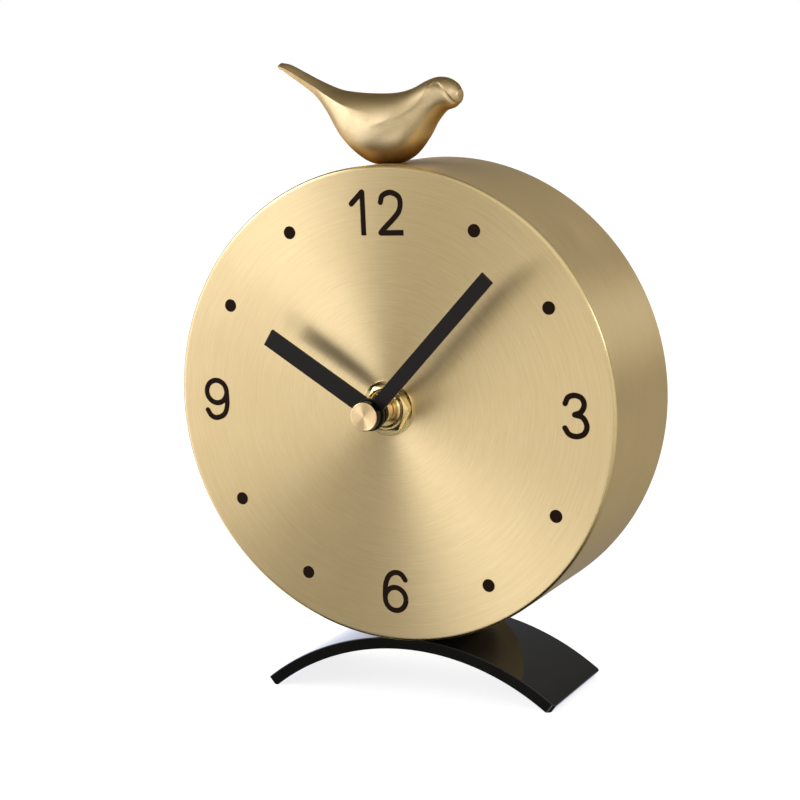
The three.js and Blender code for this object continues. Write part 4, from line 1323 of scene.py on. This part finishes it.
# %% Washer
washer_low, washer_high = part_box("dial_washer")
washer_radius = (washer_high.x - washer_low.x) / 2
washer_thickness = washer_high.y - washer_low.y
bush_radius = 4.0 * mm
bore_radius = bush_radius + 0.1 * mm
washer_profile = eased(band(bore_radius, washer_radius, 0, -washer_thickness), 0.12 * mm, closed=True)
turned_piece(
    "washer", washer_profile, "case", "turned_brass", ["dial_washer"], sides=128, closed=True
)
print("washer radius", round(washer_radius / mm, 2), "mm")

# %% Nut
nut_low, nut_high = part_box("stem_nut")
nut_front = nut_low.y - dial_face
nut_back = nut_high.y - dial_face
nut_half_flats = (nut_high.z - nut_low.z) / 2
nut_side = 60 * degree
nut_chamfer = 30 * degree
nut_flat_radius = nut_half_flats - 0.25 * mm
nut_corner = nut_half_flats / math.cos(nut_side / 2) - 0.12 * mm
nut_edge = 0.08 * mm
nut_hole_edge = 0.25 * mm


def nut_line(turn):
    within = (turn + nut_side / 2) % nut_side - nut_side / 2
    reach = min(nut_half_flats / math.cos(nut_side / 2 - abs(within)), nut_corner)
    dip = (reach - nut_flat_radius) * math.tan(nut_chamfer)
    return [
        (bore_radius, nut_back),
        (reach, nut_back),
        (reach, nut_front + dip + nut_edge),
        (reach - nut_edge, nut_front + dip),
        (nut_flat_radius, nut_front),
        (bore_radius + nut_hole_edge, nut_front),
        (bore_radius, nut_front + nut_hole_edge),
    ]


nut_mesh = mesh_round_shaft("hex_nut", 192, nut_line)
shade(nut_mesh, sharp_angle=24)
hex_nut = register("hex_nut", nut_mesh, "case", "turned_brass", ["stem_nut"])
keep_flats(hex_nut)
print("nut, half width", round(nut_half_flats / mm, 2), "mm")

# %% Threaded bush
bush_low, bush_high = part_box("threaded_bush")
bush_front = bush_low.y - dial_face
bush_back = bush_high.y - dial_face
bush_hole = 2.65 * mm
bush_hole_edge = 0.15 * mm
flange_radius = (bush_high.x - bush_low.x) / 2
flange_front = bush_back - 0.8 * mm
thread_pitch = 0.75 * mm
thread_depth = 0.38 * mm
thread_start = 0.8
steps_per_pitch = 8
thread_length = flange_front - bush_front
thread_steps = int(thread_length / thread_pitch * steps_per_pitch)


def bush_line(turn):
    line = [(bush_hole, bush_back), (flange_radius, bush_back), (flange_radius, flange_front)]
    for index in range(thread_steps, -1, -1):
        depth = bush_front + thread_length * index / thread_steps
        phase = (depth / thread_pitch - turn / full_turn) % 1.0
        groove = abs(2 * phase - 1)
        run_in = min(1.0, (depth - bush_front) / thread_pitch)
        radius = bush_radius - thread_depth * (groove * run_in + (1 - run_in) * thread_start)
        line.append((radius, depth))
    line.append((bush_hole + bush_hole_edge, bush_front))
    line.append((bush_hole, bush_front + bush_hole_edge))
    return line


bush_mesh = mesh_round_shaft("bush", 64, bush_line)
shade(bush_mesh)
register("bush_with_thread", bush_mesh, "case", "turned_brass", ["threaded_bush"])
print("bush faces", len(bush_mesh.polygons))

# %% [markdown]
# The hands
#
# Both hands are plain bars stamped from thin sheet, with a round end on the shaft, a square outer end
# and a short collar behind. The outline follows the solid's, with many more points on the round end.
# The bars are 0.25 to 0.3 mm wider than the solids', as they look in the photograph, and the stamped
# edge is eased so that it catches a thin line of light. A thin brass pipe carries the hour hand.

# %% Make the hands
hand_sheet = 0.8 * mm
stamped_edge = 0.1 * mm
collar_edge = 0.12 * mm


def hand_outline(length, half_width, hub, lean):
    meet = math.asin(half_width / hub)
    round_end = arc((0, 0), hub, quarter_turn + meet, 5 * quarter_turn - meet, 72)
    turned = []
    for across, up in [(half_width, length), (-half_width, length), *round_end]:
        turned.append((
            across * math.cos(lean) + up * math.sin(lean),
            shaft_height + up * math.cos(lean) - across * math.sin(lean),
        ))
    return turned


def make_hand(name, node, body, length, width, hub, collar, lean):
    low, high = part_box(node)
    mesh = flat_mesh(name, [hand_outline(length, width / 2, hub, lean)], low.y, low.y + hand_sheet)
    shade(mesh, sharp_angle=30)
    ease_edges(register(name, mesh, body, "black_paint", [node]), stamped_edge, angle=30)
    profile = eased(band(0, collar, low.y + hand_sheet - dial_face, high.y - dial_face), collar_edge)
    turned_piece(name + "_collar", profile, body, "black_paint", [node])


make_hand(
    "hour_bar", "hour_hand", "hour_works",
    length=31.1 * mm, width=4.15 * mm, hub=3.3 * mm, collar=3.0 * mm, lean=302.9 * degree,
)
make_hand(
    "minute_bar", "minute_hand", "minute_works",
    length=43.0 * mm, width=3.3 * mm, hub=3.7 * mm, collar=3.3 * mm, lean=44.3 * degree,
)
pipe_radius = 2.5 * mm
pipe_wall = 0.08 * mm
pipe_front = -7.6 * mm
pipe_back = -0.2 * mm
pipe_profile = band(pipe_radius, pipe_radius + pipe_wall, pipe_front, pipe_back)
turned_piece(
    "hour_pipe_sleeve", eased(pipe_profile, 0.02 * mm, closed=True), "hour_works", "turned_brass",
    finish=finish_face, flats=False, closed=True,
)
print("hands made")

# %% [markdown]
# The cap
#
# A black cap nut holds the minute hand, and a small brass face is pressed into its front. The cap's
# edge is well rounded, the face has a thin raised rim, and both are turned. Both are a little larger in
# radius than the solids, by the value cap_grown, because the photograph's face measures larger.

# %% Make the cap
cap_low, cap_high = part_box("cap_nut")
face_low, face_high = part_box("cap_face")
cap_grown = 0.17 * mm
cap_radius = (cap_high.x - cap_low.x) / 2 + cap_grown
face_radius = (face_high.x - face_low.x) / 2 + cap_grown
cap_front = cap_low.y - dial_face
cap_back = cap_high.y - dial_face
face_front = face_low.y - dial_face
face_hollow = 0.05 * mm
face_middle = face_radius - 0.28 * mm
face_edge = [(0.1 * mm, 0), (0.03 * mm, 0.04 * mm), (0, 0.12 * mm)]
turned_piece(
    "cap", eased(band(0, cap_radius, cap_front, cap_back), 0.12 * mm),
    "minute_works", "black_paint", ["cap_nut"], finish_cap, sides=96,
)
face_profile = [
    (0, face_front + face_hollow),
    (face_middle - face_hollow, face_front + face_hollow),
    (face_middle, face_front),
    *[(face_radius - inward, face_front + backward) for inward, backward in face_edge],
    (face_radius, cap_front),
    (0, cap_front),
]
turned_piece(
    "brass_face", face_profile, "minute_works", "turned_brass", ["cap_face"], finish_face,
    sharp=30, sides=96,
)
print("cap radius", round(cap_radius / mm, 2), "mm")

# %% [markdown]
# The bird
#
# The bird is the one free form of the clock. It is lofted: fifteen cross-sections, each with a top, a
# bottom and a half width, are joined by smooth curves. The tail is a wedge with a crease along each
# side, and the crease fades out on the body, where the sections become round. A fold runs up from the
# breast to the head and a groove marks the beak, so the skin is pushed in or out along those lines.
# The tail and the beak end in a few rings that shrink like a dome, so neither ends in a point. Places
# and widths are in hundredths of the bird's length.

# %% Sections of the bird
bird_low, bird_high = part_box("bird")
bird_length = bird_high.x - bird_low.x
bird_unit = bird_length / 100
bird_tail = (-60.9, 0, 49.6)
bird_beak = (39.1, 0, 31.3)
bird_sections = [
    ((-58.7, 51.5), (-59.1, 48.0), 3.3),
    ((-53.5, 50.2), (-55.0, 45.0), 4.1),
    ((-45.2, 45.9), (-48.0, 40.2), 5.2),
    ((-35.9, 41.1), (-40.2, 34.1), 6.7),
    ((-26.1, 37.0), (-33.7, 25.9), 9.8),
    ((-16.3, 35.2), (-26.3, 13.9), 13.5),
    ((-6.5, 34.3), (-17.6, 5.2), 15.4),
    ((2.2, 34.1), (-8.5, 0.0), 16.1),
    ((9.1, 34.8), (1.7, -0.7), 15.9),
    ((15.2, 36.5), (11.1, 2.4), 14.6),
    ((20.9, 39.1), (18.5, 9.8), 12.8),
    ((26.5, 40.8), (23.9, 18.0), 11.3),
    ((31.7, 40.4), (29.6, 23.9), 10.0),
    ((36.1, 38.0), (34.8, 25.7), 7.6),
    ((38.5, 34.8), (37.8, 27.8), 4.1),
]
breast_fold = [(-4.2, 19.0), (7.3, 21.6), (13.6, 24.3), (19.0, 27.6), (23.4, 31.6), (25.9, 35.5)]
beak_groove = [(29.9, 37.6), (31.8, 36.0), (33.8, 33.3), (35.5, 30.3), (36.5, 28.4)]
print("bird length", round(bird_length / mm, 2), "mm,", len(bird_sections), "sections")


# %% Distances and soft steps
def far_from(point, line):
    best = math.inf
    above = False
    for start, end in zip(line, line[1:]):
        way = end - start
        share = max(0.0, min(1.0, (point - start).dot(way) / way.length_squared))
        reach = (start + way * share - point).length
        if reach < best:
            best = reach
            above = way.x * (point.y - start.y) > way.y * (point.x - start.x)
    return best, above


def smooth_step(low, high, value):
    share = max(0.0, min(1.0, (value - low) / (high - low)))
    return share * share * (3 - 2 * share)


def fading(reach, power, distance):
    return max(0.0, 1 - distance / reach) ** power


print("loft helpers ready")

# %% Half width of the bird
wedge_at_tail = 0.8
wedge_fades = (0.12, 0.52)
wedge_power = 0.75
crease_at_tail = 0.52
crease_climb = 0.2
crease_climbs = (0.0, 0.4)
belly_power = 0.86
back_fuller = 0.05
fold_height = 1.2
fold_grows = (-8.0, 10.0)
fold_above = (10.0, 1.3)
fold_below = (2.6, 1.8)
groove_depth = 1.1
groove_sides = (1.1, 1.2)
fold_line = curve_through(breast_fold, 6)
groove_line = curve_through(beak_groove, 6)


def half_width_at(turn, place, half, wedge, crease):
    rise = (1 + math.sin(turn)) / 2
    outward = abs(math.cos(turn))
    power = belly_power if turn < 0 or turn > math.pi else 1.0
    round_half = outward ** power * (1 + back_fuller * math.sin(turn))
    wedge_half = (1 - rise) / (1 - crease) if rise > crease else rise / crease
    wide = half * (round_half * (1 - wedge) + wedge_half ** wedge_power * wedge)
    fold, above = far_from(place, fold_line)
    raised = fading(*(fold_above if above else fold_below), fold)
    wide += fold_height * smooth_step(*fold_grows, place.x) * outward * raised
    groove, above = far_from(place, groove_line)
    return wide - groove_depth * outward * fading(*groove_sides, groove)


print("points on the fold and the groove", len(fold_line), len(groove_line))

# %% Rings of the bird
ring_points = 128
steps_between = 10


def ring_turn(step, crease):
    half_points = ring_points // 2
    crease_step = half_points * 5 // 8
    crease_turn = math.asin(2 * crease - 1)
    count = step if step <= half_points else ring_points - step
    if count <= crease_step:
        turn = -quarter_turn + (crease_turn + quarter_turn) * count / crease_step
    else:
        share = (count - crease_step) / (half_points - crease_step)
        turn = crease_turn + (quarter_turn - crease_turn) * share
    return turn if step <= half_points else math.pi - turn


def bird_rings():
    tops = curve_through([section[0] for section in bird_sections], steps_between)
    bottoms = curve_through([section[1] for section in bird_sections], steps_between)
    halves = curve_through([(section[2], 0) for section in bird_sections], steps_between)
    rings = []
    for index, (top, bottom, half) in enumerate(zip(tops, bottoms, halves)):
        along = index / (len(tops) - 1)
        wedge = wedge_at_tail * (1 - smooth_step(*wedge_fades, along))
        crease = crease_at_tail + crease_climb * smooth_step(*crease_climbs, along)
        ring = []
        for step in range(ring_points):
            turn = ring_turn(step, crease)
            place = bottom.lerp(top, (1 + math.sin(turn)) / 2)
            side = 1 if math.cos(turn) >= 0 else -1
            wide = half_width_at(turn, place, half.x, wedge, crease)
            ring.append(Vector((place.x, side * wide, place.y)))
        rings.append(ring)
    return rings


def round_end(ring, tip, steps=6):
    middle = sum(ring, Vector()) / len(ring)
    rings = []
    for step in range(1, steps):
        turn = quarter_turn * step / steps
        shift = (tip - middle) * math.sin(turn)
        rings.append([middle + shift + (point - middle) * math.cos(turn) for point in ring])
    return rings


tail_tip = Vector(bird_tail)
beak_tip = Vector(bird_beak)
skin_rings = bird_rings()
skin_rings = round_end(skin_rings[0], tail_tip)[::-1] + skin_rings + round_end(skin_rings[-1], beak_tip)
print("bird rings", len(skin_rings))


# %% Loft the bird
def bird_mesh(rings):
    seat_x = bird_low.x - bird_tail[0] * bird_unit
    seat = Vector((seat_x, (bird_low.y + bird_high.y) / 2, bird_low.z))
    points = [tail_tip, *(point for ring in rings for point in ring), beak_tip]
    count = len(rings[0])
    last = len(points) - 1
    faces = quads_between(len(rings), count, first=1)
    for step in range(count):
        after = (step + 1) % count
        faces.append((0, 1 + after, 1 + step))
        faces.append((last, last - count + step, last - count + after))
    placed = [seat + point * bird_unit for point in points]
    return build_mesh("songbird", placed, faces, lambda solid: cut_level(solid, bird_low.z))


def fit_to_box(mesh, low, high):
    for axis in range(3):
        values = [vertex.co[axis] for vertex in mesh.vertices]
        least, most = min(values), max(values)
        share = (high[axis] - low[axis]) / (most - least)
        for vertex in mesh.vertices:
            vertex.co[axis] = low[axis] + (vertex.co[axis] - least) * share


songbird_mesh = bird_mesh(skin_rings)
fit_to_box(songbird_mesh, bird_low, bird_high)
shade(songbird_mesh, sharp_angle=60)
register("songbird", songbird_mesh, "case", "cast_brass", ["bird"])
print("bird faces", len(songbird_mesh.polygons))

# %% [markdown]
# The foot
#
# The foot is a strip of steel bent to an arch, lacquered gloss black. It is swept: a rectangle with
# eased corners travels round the arch, gets narrower at the two rounded ends, and is cut level where it
# stands. Gloss black shows every wobble, so the sweep has many even steps. Its two screw holes are sunk.

# %% Stations along the foot
foot_low, foot_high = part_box("foot")
foot_thickness = 2.8 * mm
foot_under = 57.2 * mm
foot_top = foot_under + foot_thickness
foot_half_angle = 38.4 * degree
foot_corner = 0.8 * mm
foot_edge = 0.2 * mm
foot_least_edge = 0.02 * mm
foot_centre = shaft_height - drum_radius - foot_top
foot_end_steps = 8
foot_middle_steps = 120


def foot_angles():
    stations = []
    for step in range(foot_end_steps):
        stations.append(foot_edge * (1 - math.cos(quarter_turn * step / foot_end_steps)) / foot_top)
    start = foot_edge / foot_top
    for step in range(foot_middle_steps + 1):
        stations.append(start + (foot_half_angle - start) * step / foot_middle_steps)
    inward = [foot_half_angle - value for value in stations]
    return inward + [-value for value in inward[::-1]][1:]


def rounding(radius, from_end):
    lack = max(0.0, radius - from_end)
    return radius - math.sqrt(max(0.0, radius**2 - lack**2))


def foot_section(narrow, thin):
    front = foot_low.y + narrow
    back = foot_high.y - narrow
    under = foot_under + thin
    top = foot_top - thin
    edge = max(foot_edge - thin, foot_least_edge)
    corners = [
        ((front + edge, top - edge), 1),
        ((front + edge, under + edge), 2),
        ((back - edge, under + edge), 3),
        ((back - edge, top - edge), 0),
    ]
    points = []
    for middle, quarter in corners:
        points.extend(arc(middle, edge, quarter * quarter_turn, (quarter + 1) * quarter_turn, 5))
    return points


print("foot stations", len(foot_angles()))


# %% Sweep the foot
head_room = 0.12 * mm
head_rim = 0.3 * mm


def foot_shape(solid):
    bmesh.ops.remove_doubles(solid, verts=solid.verts, dist=same_place)
    cut_level(solid, foot_low.z)


def foot_mesh():
    points = []
    angles = foot_angles()
    for angle in angles:
        from_end = (foot_half_angle - abs(angle)) * foot_top
        section = foot_section(rounding(foot_corner, from_end), rounding(foot_edge, from_end))
        for depth, radius in section:
            points.append((radius * math.sin(angle), depth, foot_centre + radius * math.cos(angle)))
    count = len(section)
    ends = [list(range(count)), list(range(len(points) - count, len(points)))[::-1]]
    return build_mesh("foot_strip", points, ends + quads_between(len(angles), count), foot_shape)


def sunk_hole_cutter(node):
    screw_low, screw_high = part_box(node)
    head_radius = (screw_high.x - screw_low.x) / 2 + head_room
    start = screw_low.z - bored_outside
    rim = screw_low.z + head_rim
    end = drum_low.z + bored_outside
    sunk = [(0, start), (head_radius, start), (head_radius, rim)]
    straight = [(screw_hole, rim + head_radius - screw_hole), (screw_hole, end), (0, end)]
    return upright_cutter(node, sunk + straight, 48)


foot_strip_mesh = bore(foot_mesh(), [
    sunk_hole_cutter("foot_screw_front"),
    sunk_hole_cutter("foot_screw_rear"),
])
shade(foot_strip_mesh, sharp_angle=45)
foot_strip = register("foot_strip", foot_strip_mesh, "case", "black_lacquer", ["foot"])
keep_flats(foot_strip)
print("foot faces", len(foot_strip_mesh.polygons))

# %% [markdown]
# Pieces whose solid is right
#
# The rear cover, the housing, the screws, the contacts and the other small parts need only eased edges
# and a smooth skin. Their solids are dressed: welded, shaded by angle and given a small bevel, whose
# width is listed here in mm.

# %% Dress the solids
eased_solids = {
    "rear_cover": 0.3,
    "front_housing": 0.3,
    "rear_housing": 0.3,
    "train_plate": 0.1,
    "setting_knob": 0.15,
    "cushion_ring": 0.2,
    "foot_screw_front": 0.06,
    "foot_screw_rear": 0.06,
    "bird_screw": 0.1,
    "foot_nut_front": 0.12,
    "foot_nut_rear": 0.12,
    "minute_arbor": 0.04,
    "clutch_washer": 0.04,
    "stator": 0.06,
    "coil_core": 0.06,
    "coil_bobbin": 0.08,
    "circuit_board": 0.05,
    "quartz_crystal": 0.15,
    "driver_chip": 0.0,
    "plus_contact": 0.06,
    "minus_spring": 0.06,
}
for node, ease in eased_solids.items():
    dress(node, ease)
print("dressed", len(eased_solids), "solids")

# %% [markdown]
# Moulded marks at the back
#
# A moulding this wide is stiffened by raised rings, and the clock's owner needs to know which way the
# cell goes in and where the hands are set. The marks are moulded with the part and stand a third of a
# millimetre proud: a plus and a minus over the battery bay and a bent arrow round the knob.

# %% Raised rings
ring_root = 0.1 * mm
ring_edge = 0.15 * mm


def raised_ring(name, node, radius, width, height):
    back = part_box(node)[1].y - dial_face
    middle = Vector((middle_of(node)[0], dial_face, shaft_height))
    profile = band(radius, radius + width, back - ring_root, back + height)
    turned_piece(
        name, eased(profile, ring_edge, closed=True), body_with[node], "black_plastic", [node],
        middle=middle, sides=192, closed=True,
    )


raised_ring("cover_outer_ring", "rear_cover", radius=51.2 * mm, width=1.0 * mm, height=0.4 * mm)
raised_ring("cover_inner_ring", "rear_cover", radius=47.6 * mm, width=0.8 * mm, height=0.3 * mm)
print("rings on the cover made")

# %% Plus, minus and arrow
housing_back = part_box("rear_housing")[1].y
knob_x, _, knob_z = middle_of("setting_knob")
mark_root = 0.05 * mm
mark_proud = 0.35 * mm
mark_edge = 0.12 * mm
sign_aside = 20.5 * mm
sign_height = cell_high.z + 4.2 * mm
sign_long = 2.0 * mm
sign_thin = 0.45 * mm
arrow_radius = 7.6 * mm
arrow_width = 0.6 * mm
arrow_start = 40 * degree
arrow_end = 140 * degree
arrow_tip = 32 * degree
arrow_barb = 44 * degree
barb_reach = 1.1 * mm


def mould_mark(name, *outlines):
    mesh = flat_mesh(name, list(outlines), housing_back - mark_root, housing_back + mark_proud)
    shade(mesh, sharp_angle=30)
    ease_edges(register(name, mesh, "case", "black_plastic", ["rear_housing"]), mark_edge, angle=30)


def bar(x, half_wide, half_high):
    return [
        (x - half_wide, sign_height - half_high), (x + half_wide, sign_height - half_high),
        (x + half_wide, sign_height + half_high), (x - half_wide, sign_height + half_high),
    ]


def round_knob(radius, turn):
    return knob_x + radius * math.cos(turn), knob_z + radius * math.sin(turn)


mould_mark("plus_mark", bar(sign_aside, sign_long, sign_thin), bar(sign_aside, sign_thin, sign_long))
mould_mark("minus_mark", bar(-sign_aside, sign_long, sign_thin))
arrow_outside = arc((knob_x, knob_z), arrow_radius, arrow_start, arrow_end, 24)
arrow_inside = arc((knob_x, knob_z), arrow_radius - arrow_width, arrow_end, arrow_start, 24)
arrow_middle = arrow_radius - arrow_width / 2
arrow_head = [
    round_knob(arrow_middle, arrow_tip),
    round_knob(arrow_middle + barb_reach, arrow_barb),
    round_knob(arrow_middle - barb_reach, arrow_barb),
]
mould_mark("setting_arrow", arrow_outside + arrow_inside, arrow_head)
print("moulded marks at the back made")

# %% [markdown]
# The battery cell
#
# The cell is a steel can in a shrunk sleeve. The sleeve's ends roll over the can, which leaves a bright
# ring at each end, and the plus end has its raised nub. Both are turned about the length of the cell.

# %% Make the battery cell
cell_radius = (cell_high.z - cell_low.z) / 2
cell_axis = Vector((0, (cell_low.y + cell_high.y) / 2, (cell_low.z + cell_high.z) / 2))
nub_radius = 2.75 * mm
collar_inside = 3.3 * mm
collar_outside = 3.6 * mm
crimp_inside = 4.4 * mm
crimp_outside = 4.7 * mm
shoulder = cell_high.x - 1.2 * mm
can_radius = cell_radius - 0.15 * mm
can_start = cell_low.x + 0.18 * mm
can_end = shoulder - 0.12 * mm
can_profile = [
    (0, cell_low.x), (crimp_inside, cell_low.x), (crimp_outside, can_start), (can_radius, can_start),
    (can_radius, can_end), (collar_outside, can_end), (collar_inside, shoulder), (nub_radius, shoulder),
    (nub_radius, cell_high.x), (0, cell_high.x),
]
turned_piece(
    "cell_can", eased(can_profile, 0.25 * mm), "battery", "zinc_steel", ["battery_cell"],
    sharp=40, middle=cell_axis, axis="X",
)
film_inside = can_radius + 0.01 * mm
film_lip = film_inside - 0.9 * mm
film_start = cell_low.x + 0.05 * mm
film_profile = [
    (film_lip, film_start), (cell_radius, film_start), (cell_radius, shoulder), (film_lip, shoulder),
    (film_lip, shoulder - 0.11 * mm), (film_inside, shoulder - 0.11 * mm),
    (film_inside, film_start + 0.12 * mm), (film_lip, film_start + 0.12 * mm),
]
turned_piece(
    "cell_sleeve", eased(film_profile, 0.35 * mm, closed=True), "battery", "battery_sleeve",
    ["battery_cell"], sharp=40, middle=cell_axis, axis="X", closed=True,
)
print("cell", round((cell_high.x - cell_low.x) / mm, 1), "mm long")

# %% [markdown]
# Finishes for the wheels
#
# The wheels, the rotor's magnet and the winding keep their solids, whose teeth already have their true
# form. Each gets the finish of its slot.

# %% Finish the solids that stay
kept_solids = [
    "hour_wheel", "reversing_wheel", "centre_wheel", "third_wheel", "fourth_wheel", "fifth_wheel",
    "rotor_pinion", "rotor_magnet", "coil_winding",
]
for node in kept_solids:
    frame["nodes"][node].material_slots[0].material = slot_finish[slot_with[node]]
print("finished", len(kept_solids), "solids that stay")
